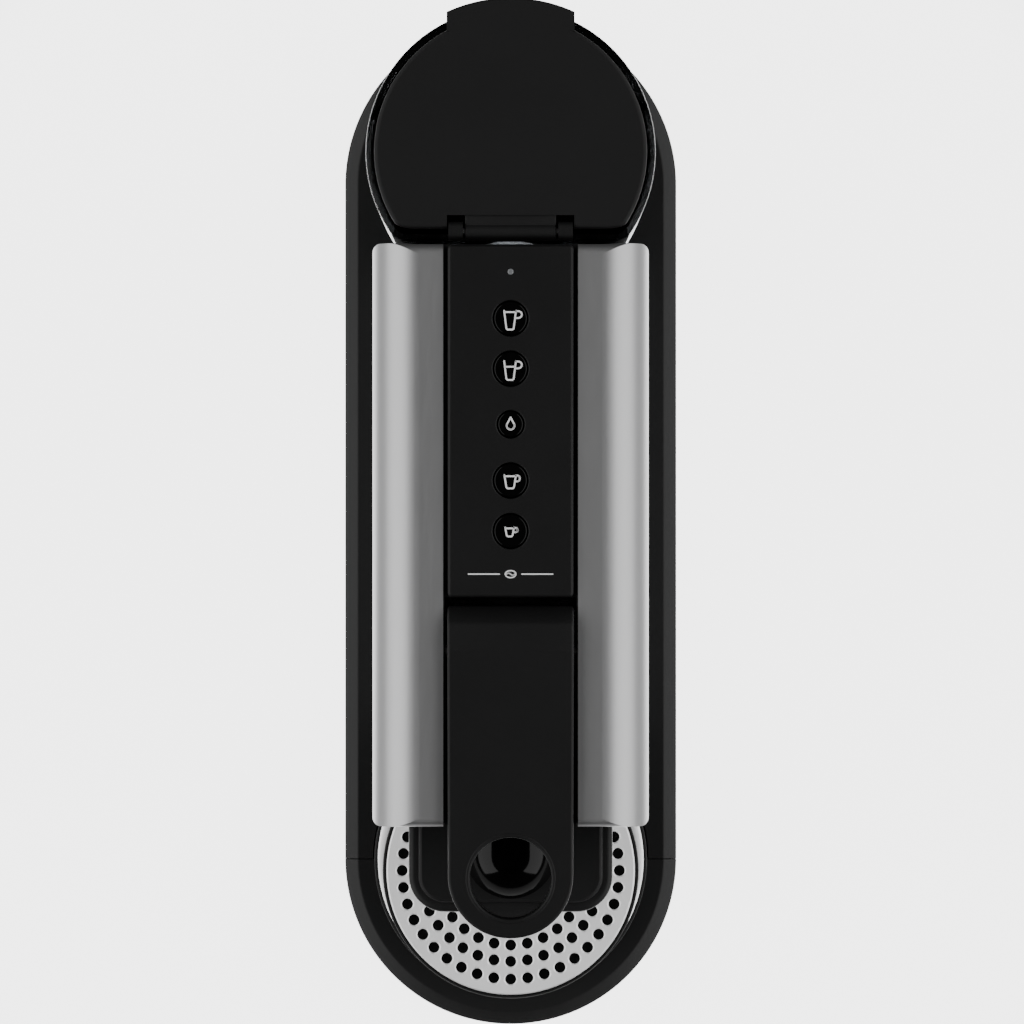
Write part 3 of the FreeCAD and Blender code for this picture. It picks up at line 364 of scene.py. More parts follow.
def stack(bm, outline, levels, holes=(), low_cap=True):
    """Join loops of one outline at each (inset, z), with round holes (x, y, radius) through."""
    loops = [outline(bm, inset, z) for inset, z in levels]
    for lower, upper in zip(loops, loops[1:]):
        bmesh.ops.bridge_loops(bm, edges=lower + upper)
    low, high = levels[0][1], levels[-1][1]
    rims_low, rims_high = [], []
    for x, y, radius, chamfer, segments in holes:
        bore = circle(radius, x, y, segments)
        rings = [bore(bm, 0, low), bore(bm, 0, high - chamfer)]
        rings.append(bore(bm, -chamfer * 0.15, high - chamfer * 0.5))
        rings.append(bore(bm, -chamfer * 0.5, high - chamfer * 0.15))
        rings.append(bore(bm, -chamfer, high))
        for lower, upper in zip(rings, rings[1:]):
            bmesh.ops.bridge_loops(bm, edges=lower + upper)
        rims_low += rings[0]
        rims_high += rings[-1]
    if low_cap:
        fill(bm, loops[0] + rims_low, holes)
    fill(bm, loops[-1] + rims_high, holes)


def rounded_levels(low, high, edge, steps=4, low_edge=None):
    """Levels of a block whose upper and lower edges are rounded off."""
    low_edge = edge if low_edge is None else low_edge
    levels = []
    for step in range(steps + 1):
        turn = math.pi / 2 * step / steps
        levels.append((low_edge * (1 - math.sin(turn)), low + low_edge * (1 - math.cos(turn))))
    for step in range(steps + 1):
        turn = math.pi / 2 * step / steps
        levels.append((edge * (1 - math.cos(turn)), high - edge * (1 - math.sin(turn))))
    return levels


def turned(bm, profile, centre=(0, 0, 0), axis="Z", segments=FINE):
    """Spin a profile of (radius, height) points round an axis; ends at radius 0 close it."""
    verts = [bm.verts.new((max(radius, 0.0), 0, height)) for radius, height in profile]
    edges = [bm.edges.new(pair) for pair in zip(verts, verts[1:])]
    bmesh.ops.spin(bm, geom=verts + edges, cent=(0, 0, 0), axis=UP, dvec=(0, 0, 0),
                   angle=2 * math.pi, steps=segments, use_merge=True)
    reach = {vert for edge in edges for vert in edge.verts}
    front = list(reach)
    while front:
        vert = front.pop()
        for edge in vert.link_edges:
            other = edge.other_vert(vert)
            if other not in reach:
                reach.add(other)
                front.append(other)
    bmesh.ops.remove_doubles(bm, verts=list(reach), dist=1e-7)
    reach = [vert for vert in reach if vert.is_valid]
    turn = Matrix.Identity(4)
    if axis == "X":
        turn = Matrix.Rotation(math.pi / 2, 4, "Y")
    if axis == "Y":
        turn = Matrix.Rotation(-math.pi / 2, 4, "X")
    bmesh.ops.transform(bm, matrix=Matrix.Translation(centre) @ turn, verts=reach)


def soft_box(bm, low, high, edge, segments=3):
    """A box with all its edges rounded."""
    low, high = Vector(low), Vector(high)
    size = high - low
    place = Matrix.Translation((low + high) / 2) @ Matrix.Diagonal((*size, 1))
    made = bmesh.ops.create_cube(bm, size=1.0, matrix=place)
    bmesh.ops.bevel(bm, geom=loop_edges(made["verts"]), offset=edge, offset_type="OFFSET",
                    segments=segments, profile=0.5, affect="EDGES", material=-1)


def face_outwards(bm):
    """Turn the faces of each separate shell outwards."""
    bmesh.ops.recalc_face_normals(bm, faces=bm.faces)
    left = set(bm.faces)
    while left:
        shell, front = set(), [left.pop()]
        while front:
            face = front.pop()
            shell.add(face)
            near = {other for edge in face.edges for other in edge.link_faces} & left
            left -= near
            front += near
        volume = sum(face.calc_center_median().dot(face.normal) * face.calc_area()
                     for face in shell)
        if volume < 0:
            bmesh.ops.reverse_faces(bm, faces=list(shell))


def as_mesh(bm, name):
    bmesh.ops.remove_doubles(bm, verts=bm.verts, dist=1e-7)
    face_outwards(bm)
    for face in bm.faces:
        face.smooth = True
    for edge in bm.edges:
        edge.smooth = edge.calc_face_angle(0.0) < SHARP
    mesh = bpy.data.meshes.new(name)
    bm.to_mesh(mesh)
    bm.free()
    return mesh


def carve(mesh, cutters, operation="DIFFERENCE"):
    """Cut closed shapes out of a mesh, exactly, or join them to it."""
    work = bpy.data.objects.new("work", mesh)
    bpy.context.scene.collection.objects.link(work)
    tools = []
    for cutter in cutters:
        tool = bpy.data.objects.new("tool", cutter)
        bpy.context.scene.collection.objects.link(tool)
        change = work.modifiers.new("cut", "BOOLEAN")
        change.operation = operation
        change.solver = "EXACT"
        change.object = tool
        tools.append(tool)
    bpy.context.view_layer.update()
    depsgraph = bpy.context.evaluated_depsgraph_get()
    result = bpy.data.meshes.new_from_object(work.evaluated_get(depsgraph))
    for spare in tools + [work]:
        bpy.data.objects.remove(spare)
    bm = bmesh.new()
    bm.from_mesh(result)
    name = mesh.name
    bpy.data.meshes.remove(result)
    return as_mesh(bm, name + "_cut")


def piece(name, mesh, finish, body, nodes=()):
    """Put a finished mesh into the scene as one named piece on its body."""
    if isinstance(mesh, bmesh.types.BMesh):
        mesh = as_mesh(mesh, name)
    mesh.materials.clear()
    mesh.materials.append(finish)
    made = bpy.data.objects.new(name, mesh)
    bpy.context.scene.collection.objects.link(made)
    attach(made, body)
    if nodes:
        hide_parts(*nodes)
    return made


# ---- places read from the frame -----------------------------------------------------
def corners_of(node):
    low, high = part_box(node)
    return Vector(low), Vector(high)


BASE_LOW, BASE_HIGH = corners_of("base_shell")
BASE_R = BASE_HIGH.x
BASE_REACH = BASE_HIGH.y - BASE_R
BASE_TOP = BASE_HIGH.z
RIM_H = 3 * MM                # height of the sloping band
PAST_DECK = 50 * MM           # cutters for the deck end up here, clear of it
INLET_R, INLET_Z = 7 * MM, 13 * MM
INLET_CUT = (165 * MM, 210 * MM)      # from inside the base to past its back


# ---- base and drip tray -------------------------------------------------------------
def rim_levels(low, high):
    """The base's edge: upright wall, rounded lip, sloping band, then the flat deck."""
    lip = high - RIM_H
    edge = ((1.2, low, 0.0), (0.35, low, 0.5), (0.0, low, 1.6), (0.0, lip, -0.5),
            (0.2, lip, 0.1), (0.8, lip, 0.5), (4.6, high, -0.25), (5.0, high, -0.05),
            (5.4, high, 0.0))
    return [(inset * MM, start + rise * MM) for inset, start, rise in edge]


def cut_off(bm, place, way):
    """Keep the part of a closed shape that lies past a plane, and close the cut."""
    geom = bm.verts[:] + bm.edges[:] + bm.faces[:]
    cut = bmesh.ops.bisect_plane(bm, geom=geom, dist=1e-7, plane_co=place, plane_no=way,
                                 clear_inner=True)
    edges = [item for item in cut["geom_cut"] if isinstance(item, bmesh.types.BMEdge)]
    bmesh.ops.triangle_fill(bm, use_beauty=True, edges=edges, normal=way)


def cylinder_mesh(radius, centre, low, high, axis="Z", segments=FINE):
    """A plain closed cylinder, used only to cut with."""
    bm = bmesh.new()
    profile = [(0, low), (radius, low), (radius, high), (0, high)]
    turned(bm, profile, centre, axis, segments)
    return as_mesh(bm, "cutter")


def box_mesh(low, high):
    bm = bmesh.new()
    low, high = Vector(low), Vector(high)
    place = Matrix.Translation((low + high) / 2) @ Matrix.Diagonal((*(high - low), 1))
    bmesh.ops.create_cube(bm, size=1.0, matrix=place)
    return as_mesh(bm, "cutter")


def make_base():
    seam = -BASE_REACH + 0.15 * MM
    bm = bmesh.new()
    stack(bm, racetrack(BASE_R, BASE_REACH), rim_levels(BASE_LOW.z, BASE_TOP))
    cut_off(bm, (0, seam, 0), REARWARD)
    dish = corners_of("drip_tray")[1].y + BASE_REACH
    inlet_low, inlet_high = corners_of("cord_inlet")
    inlet = (inlet_low + inlet_high) / 2
    slot = cylinder_mesh(dish + 0.6 * MM, (0, -BASE_REACH, 0), 0, PAST_DECK)
    hole = cylinder_mesh(INLET_R, (inlet.x, 0, INLET_Z), *INLET_CUT, "Y", 48)
    piece("base_body", carve(as_mesh(bm, "base"), [slot, hole]), RIM, "machine",
          ["base_shell"])


def make_drip_tray():
    low, high = corners_of("drip_tray")
    outer = high.y + BASE_REACH
    bm = bmesh.new()
    stack(bm, racetrack(BASE_R, BASE_REACH), rim_levels(low.z, BASE_TOP))
    cut_off(bm, (0, -BASE_REACH - 0.2 * MM, 0), FORWARD)
    well = cylinder_mesh(outer - 1 * MM, (0, -BASE_REACH, 0), low.z + 3 * MM, PAST_DECK)
    front = carve(as_mesh(bm, "front"), [well])
    bm = bmesh.new()
    bm.from_mesh(front)
    floor, rim = low.z, high.z
    dish = [(0, floor), (outer - 1.5 * MM, floor), (outer, floor + 1.5 * MM),
            (outer, rim - 0.6 * MM), (outer - 0.2 * MM, rim - 0.15 * MM), (outer - 0.6 * MM, rim),
            (outer - 1.0 * MM, rim), (outer - 1.2 * MM, rim - 0.2 * MM),
            (outer - 1.2 * MM, rim - 2 * MM), (outer - 2.5 * MM, rim - 2.0 * MM),
            (outer - 2.5 * MM, 13 * MM), (outer - 5.5 * MM, 10 * MM), (0, 10 * MM)]
    turned(bm, dish, (0, -BASE_REACH, 0))
    piece("drip_tray_body", bm, RIM, "drip_tray", ["drip_tray"])


def make_drip_grid():
    """Bright ring with a flat top and rounded edges, with slats across it."""
    low, high = corners_of("drip_grid")
    radius = high.x
    top, bottom = high.z, low.z + 0.1 * MM
    bm = bmesh.new()
    ring = [(radius - 5.2 * MM, bottom), (radius - 0.5 * MM, bottom), (radius, bottom + 0.6 * MM),
            (radius, top - 0.9 * MM), (radius - 0.3 * MM, top - 0.3 * MM), (radius - 1.0 * MM, top),
            (radius - 4.2 * MM, top), (radius - 4.9 * MM, top - 0.3 * MM),
            (radius - 5.2 * MM, top - 0.9 * MM), (radius - 5.2 * MM, bottom)]
    turned(bm, ring, (0, -BASE_REACH, 0))
    inner = radius - 4.6 * MM
    for step in range(-6, 7):
        x = step * 7 * MM
        reach = math.sqrt(inner ** 2 - x ** 2)
        soft_box(bm, (x - 1.4 * MM, -BASE_REACH - reach, bottom + 0.4 * MM),
                 (x + 1.4 * MM, -BASE_REACH + reach, top - 0.5 * MM), 0.5 * MM)
    soft_box(bm, (-inner, -BASE_REACH - 1.5 * MM, bottom + 0.5 * MM),
             (inner, -BASE_REACH + 1.5 * MM, top - 0.8 * MM), 0.5 * MM)
    piece("drip_grid_plate", bm, CHROME, "drip_grid", ["drip_grid"])


# ---- folding cup support ------------------------------------------------------------
HOLE_RINGS = ((41.8, 40), (35.0, 34), (28.7, 28), (22.0, 22), (15.3, 16), (8.4, 10))
HOLE_R = 2.1 * MM
HOLE_FLARE = 0.6 * MM


def make_cup_grid():
    low, high = corners_of("cup_grid")
    centre_y = (low.y + high.y) / 2
    radius = high.x
    holes = []
    for ring, count in HOLE_RINGS:
        for index in range(count):
            angle = math.radians(-90 + index * 360.0 / count)
            spot = (ring * MM * math.cos(angle), centre_y + ring * MM * math.sin(angle))
            holes.append((*spot, HOLE_R, HOLE_FLARE, 20))
    bm = bmesh.new()
    levels = rounded_levels(low.z + 0.3 * MM, high.z, 0.7 * MM, 4, 0.2 * MM)
    stack(bm, circle(radius, 0, centre_y, 160), levels, holes)
    piece("cup_plate", bm, CHROME, "cup_support", ["cup_grid"])


def make_support_carrier():
    low, high = corners_of("support_carrier")
    plate_low, plate_high = corners_of("cup_grid")
    centre_y = (plate_low.y + plate_high.y) / 2
    radius = high.x
    hinge_low, hinge_high = corners_of("support_hinge_pin")
    hinge = (hinge_low + hinge_high) / 2
    rim = plate_low.z + 1.4 * MM
    under = low.z
    bm = bmesh.new()
    dish = [(4 * MM, under), (radius - 6 * MM, under), (radius - 2.2 * MM, under + 0.7 * MM),
            (radius - 0.6 * MM, under + 2.2 * MM), (radius, under + 4.2 * MM),
            (radius, rim - 0.5 * MM), (radius - 0.3 * MM, rim - 0.1 * MM),
            (radius - 0.7 * MM, rim - 0.1 * MM), (radius - 1.0 * MM, rim - 0.4 * MM),
            (radius - 1.0 * MM, plate_low.z), (radius - 3.0 * MM, plate_low.z),
            (radius - 3.4 * MM, under + 3.0 * MM), (radius - 6 * MM, under + 1.6 * MM),
            (4 * MM, under + 1.6 * MM), (4 * MM, under)]
    turned(bm, dish, (0, centre_y, 0))
    mesh = as_mesh(bm, "dish")
    pocket = [box_mesh((side * 14.2 * MM - 2.6 * MM, hinge.y - 5 * MM, under - MM),
                       (side * 14.2 * MM + 2.6 * MM, -80 * MM, rim + 5 * MM)) for side in (-1, 1)]
    mesh = carve(mesh, pocket)
    bm = bmesh.new()
    bm.from_mesh(mesh)
    knuckle = 3.6 * MM
    reach = 11.6 * MM
    barrel = [(0, -reach), (knuckle - 0.5 * MM, -reach), (knuckle, -reach + 0.5 * MM),
              (knuckle, reach - 0.5 * MM), (knuckle - 0.5 * MM, reach), (0, reach)]
    turned(bm, barrel, hinge, "X", 40)
    soft_box(bm, (-reach, hinge.y - 4.6 * MM, under), (reach, hinge.y, hinge.z + 0.8 * MM),
             0.6 * MM)
    piece("support_dish", bm, SATIN, "cup_support", ["support_carrier"])


# ---- control panel ------------------------------------------------------------------
BUTTONS = ("large_fill", "large_level", "rinse", "medium_cup", "small_cup")


def button_spot(name):
    low, high = corners_of("button_" + name)
    centre = (low + high) / 2
    return centre.x, centre.y, high.x - 1.0 * MM, high.z


def make_control_panel():
    low, high = corners_of("control_panel")
    holes = []
    for name in BUTTONS:
        x, y, radius = button_spot(name)[:3]
        holes.append((x, y, radius + 0.4 * MM, 0.4 * MM, 56))
    lamp_low, lamp_high = corners_of("status_light")
    lamp_y = (lamp_low.y + lamp_high.y) / 2
    holes.append((0, lamp_y, 1.15 * MM, 0.15 * MM, 24))
    bm = bmesh.new()
    levels = rounded_levels(low.z, high.z, 1.1 * MM, 5, 0.2 * MM)
    stack(bm, block(low.x, high.x, low.y, high.y, 1.6 * MM, 1.6 * MM), levels, holes)
    piece("control_cover", bm, SATIN, "machine", ["control_panel"])
    lens = [(0, high.z - 6 * MM), (1.05 * MM, high.z - 6 * MM), (1.05 * MM, high.z - 0.15 * MM),
            (0.8 * MM, high.z - 0.02 * MM), (0.4 * MM, high.z + 0.05 * MM), (0, high.z + 0.07 * MM)]
    bm = bmesh.new()
    turned(bm, lens, (0, lamp_y, 0), "Z", 32)
    piece("status_lens", bm, LENS, "machine", ["status_light"])


def stroke(name, paths, width, centre, finish, body, lift):
    """Flat printed lines: open or closed paths of (x, y) in millimetres round a centre."""
    bm = bmesh.new()
    half_width, thick = width * MM / 2, 0.06 * MM
    for closed, points in paths:
        spots = [Vector((centre[0] + x * MM, centre[1] + y * MM, lift)) for x, y in points]
        for start, end in zip(spots, spots[1:] + (spots[:1] if closed else [])):
            along = end - start
            turn = Matrix.Rotation(math.atan2(along.y, along.x), 4, "Z")
            size = Matrix.Diagonal((along.length, 2 * half_width, thick, 1))
            bmesh.ops.create_cube(bm, size=1.0,
                                  matrix=Matrix.Translation((start + end) / 2) @ turn @ size)
        for spot in spots:
            bmesh.ops.create_cone(bm, cap_ends=True, segments=16, radius1=half_width,
                                  radius2=half_width, depth=thick * 1.1,
                                  matrix=Matrix.Translation(spot))
    piece(name, bm, finish, body)


def arc(x, y, radius, start, stop, steps=10):
    span = [start + (stop - start) * step / steps for step in range(steps + 1)]
    return [(x + radius * math.cos(math.radians(a)), y + radius * math.sin(math.radians(a)))
            for a in span]


def cup(left, right, top, foot, taper, level, grip):
    """A tapered cup seen from the side, its fill line and a looped handle at upper right."""
    body = [(left, top), (left + taper, foot + 0.4), (left + taper + 0.4, foot),
            (right - taper - 0.4, foot), (right - taper, foot + 0.4), (right, top)]
    width, height = grip
    handle = [(right, top - 0.1)]
    for step in range(1, 9):
        turn = math.pi / 8 * step
        handle.append((right + width * (0.35 + 0.65 * math.sin(turn)),
                       top - 0.1 - height / 2 * (1 - math.cos(turn))))
    handle += [(right - taper * height / (top - foot), top - height - 0.1)]
    drop = (1 - level) * (top - foot)
    lean = taper * (1 - level)
    surface = [(left + lean, top - drop), (right - lean, top - drop)]
    return [(False, body), (False, handle), (False, surface)]


def water_drop(size):
    return [(True, [(0.0, size * 0.62)] + arc(0, -size * 0.12, size * 0.36, 28, -208, 16))]


LARGE_CUP = (-2.3, 1.9, 2.7, -4.0, 0.8)
ICONS = {"large_fill": cup(*LARGE_CUP, 0.93, (2.1, 2.5)),
         "large_level": cup(*LARGE_CUP, 0.70, (2.1, 2.5)),
         "rinse": water_drop(3.9),
         "medium_cup": cup(-2.2, 1.9, 1.9, -2.8, 0.7, 0.92, (1.4, 2.1)),
         "small_cup": cup(-1.9, 1.2, 1.3, -1.9, 0.5, 0.90, (1.3, 1.6))}


def make_buttons():
    for name in BUTTONS:
        x, y, radius, top = button_spot(name)
        low = corners_of("button_" + name)[0].z
        cap = [(0, low), (2 * MM, low), (2 * MM, top - 5.6 * MM), (radius + MM, top - 5.6 * MM),
               (radius + MM, top - 4.2 * MM), (radius, top - 4.1 * MM), (radius, top - 0.6 * MM),
               (radius - 0.12 * MM, top - 0.3 * MM), (radius - 0.35 * MM, top - 0.12 * MM),
               (radius - 0.7 * MM, top - 0.05 * MM), (radius - 0.9 * MM, top - 0.04 * MM),
               (0, top - 0.04 * MM)]
        bm = bmesh.new()
        turned(bm, cap, (x, y, 0), "Z", 64)
        piece("key_" + name, bm, GLOSS, "button_" + name, ["button_" + name])
        stroke("print_" + name, ICONS[name], 0.60, (x, y), ICON, "button_" + name,
               top - 0.02 * MM)


def make_ornament():
    """A plain bean between two thin rules, in place of any mark."""
    low, high = corners_of("control_panel")
    y = low.y + 8.2 * MM
    bean = [(True, [(1.9 * math.cos(a / 12 * math.pi), 1.25 * math.sin(a / 12 * math.pi))
                    for a in range(24)]),
            (False, [(-1.5 + 0.25 * k, 0.35 * math.sin(k * math.pi / 6)) for k in range(13)]),
            (False, [(-15.0, 0), (-4.0, 0)]), (False, [(4.0, 0), (15.0, 0)])]
    stroke("panel_ornament", bean, 0.45, (0, y), ICON, "machine", high.z)


# ---- lever --------------------------------------------------------------------------
CORNER_R = 18.6 * MM          # the rolled end's fuller upper corner, from the shaft


def rolled_end(shaft, radius):
    """Side outline of the lever's rear end: round below, a fuller corner above."""
    def draw(bm, inset, x):
        made = bmesh.ops.create_circle(bm, radius=radius - inset, segments=128)["verts"]
        for vert in made:
            across, up = vert.co.x, vert.co.y
            if across > 0 and up > 0:
                fuller = (CORNER_R - inset) / (radius - inset)
                across = min(across * fuller, radius - inset)
                up = min(up * fuller, radius - inset)
            vert.co = (x, shaft.y + across, shaft.z + up)
        return loop_edges(made)
    return draw


def stack_along_x(bm, outline, half_width, edge, steps=5):
    """Close a side outline into a block with rounded left and right edges."""
    levels = []
    for step in range(steps + 1):
        turn = math.pi / 2 * step / steps
        levels.append((edge * (1 - math.sin(turn)), half_width - edge * (1 - math.cos(turn))))
    levels += [(inset, -x) for inset, x in reversed(levels)]
    loops = [outline(bm, inset, x) for inset, x in levels]
    for first, second in zip(loops, loops[1:]):
        bmesh.ops.bridge_loops(bm, edges=first + second)
    fill(bm, loops[0], False)
    fill(bm, loops[-1], False)


def make_lever():
    low, high = corners_of("lever_handle")
    ring_low, ring_high = corners_of("finger_ring")
    shaft_low, shaft_high = corners_of("lever_shaft")
    shaft = (shaft_low + shaft_high) / 2
    finger_y = (ring_low.y + ring_high.y) / 2
    finger_r = ring_high.x
    x, under, top = high.x, ring_low.z, high.z
    edge = 1.0 * MM
    bm = bmesh.new()
    outline = block(-x, x, low.y, shaft.y, x - 0.35 * MM, 0.0, 28)
    levels = rounded_levels(under, top, edge, 5, 1.6 * MM)
    stack(bm, outline, levels, [(0, finger_y, finger_r - 0.1 * MM, 0.05 * MM, FINE)])
    for vert in bm.verts:
        share = (shaft.y - vert.co.y) / (shaft.y - low.y)
        vert.co.x *= 1 - 0.014 * share
    for vert in bm.verts:
        if vert.co.y > shaft.y - 3 * MM:
            vert.co.y = shaft.y
    stack_along_x(bm, rolled_end(shaft, top - shaft.z), x, edge)
    piece("lever_grip", bm, SATIN, "lever", ["lever_handle"])
    inner = finger_r - 1.5 * MM
    wall = [(inner, under), (finger_r, under), (finger_r, top + 0.05 * MM),
            (finger_r - 0.25 * MM, top + 0.2 * MM), (inner + 0.7 * MM, top + 0.2 * MM),
            (inner + 0.2 * MM, top - 0.1 * MM), (inner, top - 0.6 * MM), (inner, under)]
    bm = bmesh.new()
    turned(bm, wall, (0, finger_y, 0))
    piece("finger_trim", bm, SATIN, "lever", ["finger_ring"])


def make_gap_shade_strip():
    """Dark matt strip under the gap behind the lever, clear of the lever's rolled end; it paints in
    the shade of the gap.
    """
    low, high = corners_of("lever_handle")
    shaft_low, shaft_high = corners_of("lever_shaft")
    z = (shaft_low.z + shaft_high.z) / 2 - 14 * MM
    bm = bmesh.new()
    soft_box(bm, (low.x, high.y - 1.5 * MM, z - 2 * MM), (high.x, high.y + 5.5 * MM, z), 0.4 * MM)
    # painted shade: a black rubber strip that darkens the gap behind the lever
    piece("gap_shade_strip", bm, RUBBER, "machine")


# ---- outlet head --------------------------------------------------------------------
HEAD_STEP = 3.2 * MM          # the narrower top stands this much above the body
HEAD_WALL = {"side": 5.8 * MM, "front": 7 * MM, "floor": 10 * MM, "roof": 3 * MM}
LIP_HALF = 14 * MM
LIP_PROUD = 3.4 * MM
LIP_TALL = 8 * MM


def make_outlet_head():
    low, high = corners_of("outlet_head")
    bm = bmesh.new()
    rear = high.y
    outline = block(low.x, high.x, low.y, rear, 13 * MM, 0.0, 14)
    shoulder = high.z - HEAD_STEP
    levels = rounded_levels(low.z, shoulder, 2.0 * MM, 5, 2.5 * MM)
    levels += [(3.4 * MM, shoulder), (3.6 * MM, shoulder + 0.3 * MM),
               (3.6 * MM, high.z - 1.2 * MM), (4.0 * MM, high.z - 0.35 * MM),
               (4.8 * MM, high.z)]
    stack(bm, outline, levels)
    for vert in bm.verts:
        if vert.co.y > rear - 7 * MM:
            vert.co.y = rear
    soft_box(bm, (-LIP_HALF, low.y - LIP_PROUD, shoulder - LIP_TALL),
             (LIP_HALF, low.y + 10 * MM, shoulder - 0.2 * MM), 2.4 * MM, 5)
    wall = HEAD_WALL
    hollow = box_mesh((low.x + wall["side"], low.y + wall["front"], low.z + wall["floor"]),
                      (high.x - wall["side"], rear + 5 * MM, high.z - wall["roof"]))
    mesh = carve(as_mesh(bm, "outlet"), [hollow])
    piece("outlet_cover", mesh, RIM, "machine", ["outlet_head"])


def make_outlet_cap():
    low, high = corners_of("outlet_cap")
    reach, rise = high.x, high.z - low.z
    radius = (reach ** 2 + rise ** 2) / (2 * rise)
    bm = bmesh.new()
    bmesh.ops.create_uvsphere(bm, u_segments=96, v_segments=64, radius=radius)
    for vert in bm.verts:
        if vert.co.y > 0.01 * MM:
            vert.co.y = high.y - low.y - reach
    bmesh.ops.translate(bm, verts=bm.verts, vec=(0, low.y + reach, high.z - radius))
    cut_off(bm, (0, 0, low.z - 0.2 * MM), UP)
    piece("outlet_dome", bm, GLOSS, "machine", ["outlet_cap"])


def make_spout():
    low = corners_of("coffee_spout")[0]
    y = low.y + 9.5 * MM
    body = [(2.4 * MM, low.z + 0.2 * MM), (4.4 * MM, low.z), (5.0 * MM, low.z + 0.6 * MM),
            (5.6 * MM, low.z + 4 * MM), (7.0 * MM, low.z + 10 * MM), (8.6 * MM, low.z + 14 * MM),
            (8.8 * MM, low.z + 16 * MM), (2.4 * MM, low.z + 16 * MM), (2.4 * MM, low.z + 0.2 * MM)]
    bm = bmesh.new()
    turned(bm, body, (0, y, 0), "Z", 64)
    piece("spout_nozzle", bm, GLOSS, "machine", ["coffee_spout"])


# ---- water tank ---------------------------------------------------------------------
TANK_WALL = 2.8 * MM
TANK_FLOOR = 6.6 * MM         # top of the tank's floor, above its underside
UNDER_RECESS = 3.6 * MM       # depth of the recess below the floor
SKIRT_FRONT = 119 * MM        # the lid's skirt runs round the back from here
TAB_HALF = 22.8 * MM          # half the width of the grip tab, and of the notch for the hinge


def tank_places():
    low, high = corners_of("water_tank")
    radius = high.x
    return low, high, radius, high.y - radius


def make_tank():
    low, high, radius, centre_y = tank_places()
    wall = TANK_WALL
    outer = d_line(radius, centre_y, low.y, corner=5 * MM)
    bm = bmesh.new()
    top, bottom = high.z, low.z
    floor = bottom + TANK_FLOOR
    levels = [(wall, bottom), (0.4 * MM, bottom), (0.0, bottom + 0.5 * MM), (0.0, top - 0.4 * MM),
              (0.12 * MM, top - 0.12 * MM), (0.4 * MM, top), (wall - 0.4 * MM, top),
              (wall - 0.12 * MM, top - 0.12 * MM), (wall, top - 0.4 * MM),
              (wall, floor + 2 * MM), (wall + 0.6 * MM, floor + 0.6 * MM), (wall + 2 * MM, floor)]
    stack(bm, outer, levels, low_cap=False)
    under = outer(bm, wall, bottom)
    recess = outer(bm, wall, bottom + UNDER_RECESS)
    bmesh.ops.bridge_loops(bm, edges=under + recess)
    fill(bm, recess, False)
    piece("tank_body", bm, SMOKE, "tank", ["water_tank"])


def make_lid():
    low, high = corners_of("tank_lid")
    centre_y = tank_places()[3]
    radius = high.x
    pin_low, pin_high = corners_of("lid_hinge_pin")
    pin = (pin_low + pin_high) / 2
    front = low.y + 4.0 * MM
    under, top = low.z + 5 * MM, high.z - 0.4 * MM
    bm = bmesh.new()
    levels = rounded_levels(under, top, 1.5 * MM, 5, 0.4 * MM)
    stack(bm, d_line(radius, centre_y, front, corner=6 * MM), levels)
    notch_half = TAB_HALF - 0.1 * MM
    notch = box_mesh((-notch_half, front - 10 * MM, under - MM),
                     (notch_half, front + 4.7 * MM, top + MM))
    mesh = carve(as_mesh(bm, "lid"), [notch])
    tab_r = high.y - centre_y
    tab = bmesh.new()
    stack(tab, circle(tab_r, 0, centre_y, 200), rounded_levels(under + MM, top, 1.0 * MM, 4))
    for place, way in (((-TAB_HALF, 0, 0), (1, 0, 0)), ((TAB_HALF, 0, 0), (-1, 0, 0)),
                       ((0, centre_y + radius - 6 * MM, 0), REARWARD)):
        cut_off(tab, place, way)
    mesh = carve(mesh, [as_mesh(tab, "tab")], "UNION")
    bm = bmesh.new()
    bm.from_mesh(mesh)
    inside, outside = radius - 2.5 * MM, radius - 0.5 * MM
    skirt = [(inside, low.z), (outside, low.z), (outside, under + MM), (inside, under + MM),
             (inside, low.z)]
    ring = bmesh.new()
    turned(ring, skirt, (0, centre_y, 0))
    cut_off(ring, (0, SKIRT_FRONT, 0), REARWARD)
    bm.from_mesh(as_mesh(ring, "skirt"))
    knuckle = 2.9 * MM
    reach = 16.3 * MM
    barrel = [(0, -reach), (knuckle - 0.4 * MM, -reach), (knuckle, -reach + 0.4 * MM),
              (knuckle, reach - 0.4 * MM), (knuckle - 0.4 * MM, reach), (0, reach)]
    turned(bm, barrel, pin, "X", 40)
    soft_box(bm, (-reach, pin.y, pin.z - 1.8 * MM), (reach, front + 6 * MM, pin.z + 1.9 * MM),
             0.5 * MM)
    piece("lid_cover", bm, LID, "tank_lid", ["tank_lid"])


# ---- stage --------------------------------------------------------------------------
FLOOR_HALF = 4.0
SOFTBOX_REACH = 2.0           # distance from the machine
SOFTBOX_TILT = math.radians(57)
SOFTBOX_SIZE = (2.1, 4.0)
SOFTBOX_POWER = 66.0
FLOOR_GLOW = 3.8
GLOW_FADE = (0.27, 0.40)      # the glow dies away between these distances


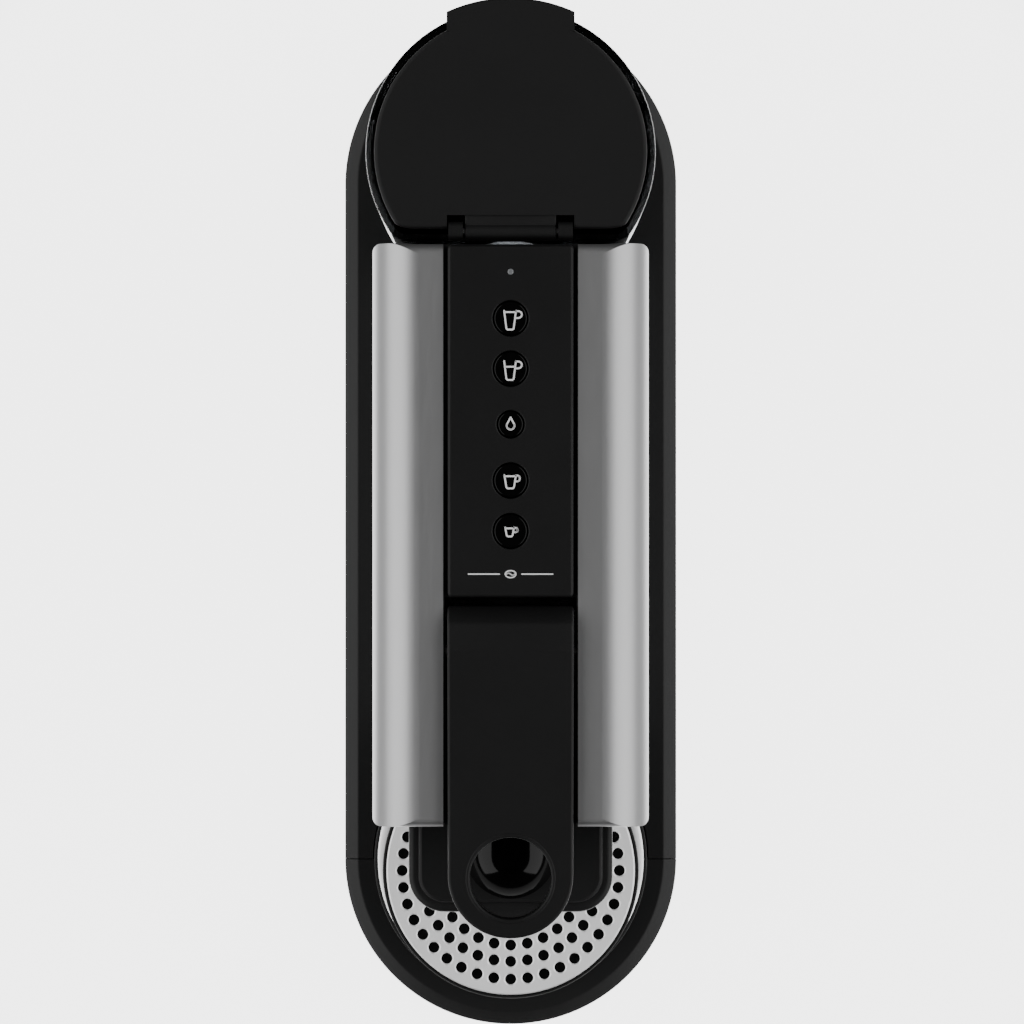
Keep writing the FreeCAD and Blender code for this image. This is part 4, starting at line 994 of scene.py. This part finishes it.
def make_stage():
    """Pale floor like a light table: softly lit from below under the machine."""
    bm = bmesh.new()
    bmesh.ops.create_grid(bm, x_segments=1, y_segments=1, size=FLOOR_HALF)
    mesh = as_mesh(bm, "floor")
    floor = bpy.data.objects.new("floor", mesh)
    bpy.context.scene.collection.objects.link(floor)
    finish = Finish("pale_floor", roughness=0.9, specular_ior_level=0.0,
                    emission_strength=FLOOR_GLOW)
    cloud = finish.noise(3.0, 3.0, 0.5)
    finish.set("Base Color", finish.mix(cloud, (0.60, 0.60, 0.60), (0.63, 0.63, 0.63)))
    away = finish.node("ShaderNodeVectorMath", {"operation": "LENGTH"}, {0: finish.place()}, 1)
    glow = finish.node("ShaderNodeMapRange", {"interpolation_type": "SMOOTHSTEP"},
                       {"Value": away, "From Min": GLOW_FADE[0], "From Max": GLOW_FADE[1],
                        "To Min": 1.0, "To Max": 0.0})
    finish.set("Emission Color", finish.mix(glow, (0.0, 0.0, 0.0), (1.0, 1.0, 1.0)))
    mesh.materials.append(finish.material)


def make_lights():
    """Two long softboxes, one along each side; nothing straight above."""
    across = math.sin(SOFTBOX_TILT) * SOFTBOX_REACH
    height = math.cos(SOFTBOX_TILT) * SOFTBOX_REACH
    for side in (-1, 1):
        data = bpy.data.lights.new("side_softbox", "AREA")
        data.shape = "RECTANGLE"
        data.size, data.size_y = SOFTBOX_SIZE
        data.energy = SOFTBOX_POWER
        light = bpy.data.objects.new("side_softbox", data)
        light.location = (side * across, 0, height + 0.2)
        light.rotation_euler = (0, side * SOFTBOX_TILT, 0)
        bpy.context.scene.collection.objects.link(light)
    world = bpy.data.worlds.new("studio")
    world.use_nodes = True
    background = world.node_tree.nodes["Background"]
    background.inputs["Color"].default_value = (1, 1, 1, 1)
    background.inputs["Strength"].default_value = 0.03
    bpy.context.scene.world = world


dress_frame_nodes()
make_base()
make_drip_tray()
make_drip_grid()
make_cup_grid()
make_support_carrier()
make_control_panel()
make_buttons()
make_ornament()
make_lever()
make_gap_shade_strip()
make_outlet_head()
make_outlet_cap()
make_spout()
make_tank()
make_lid()
make_stage()
make_lights()
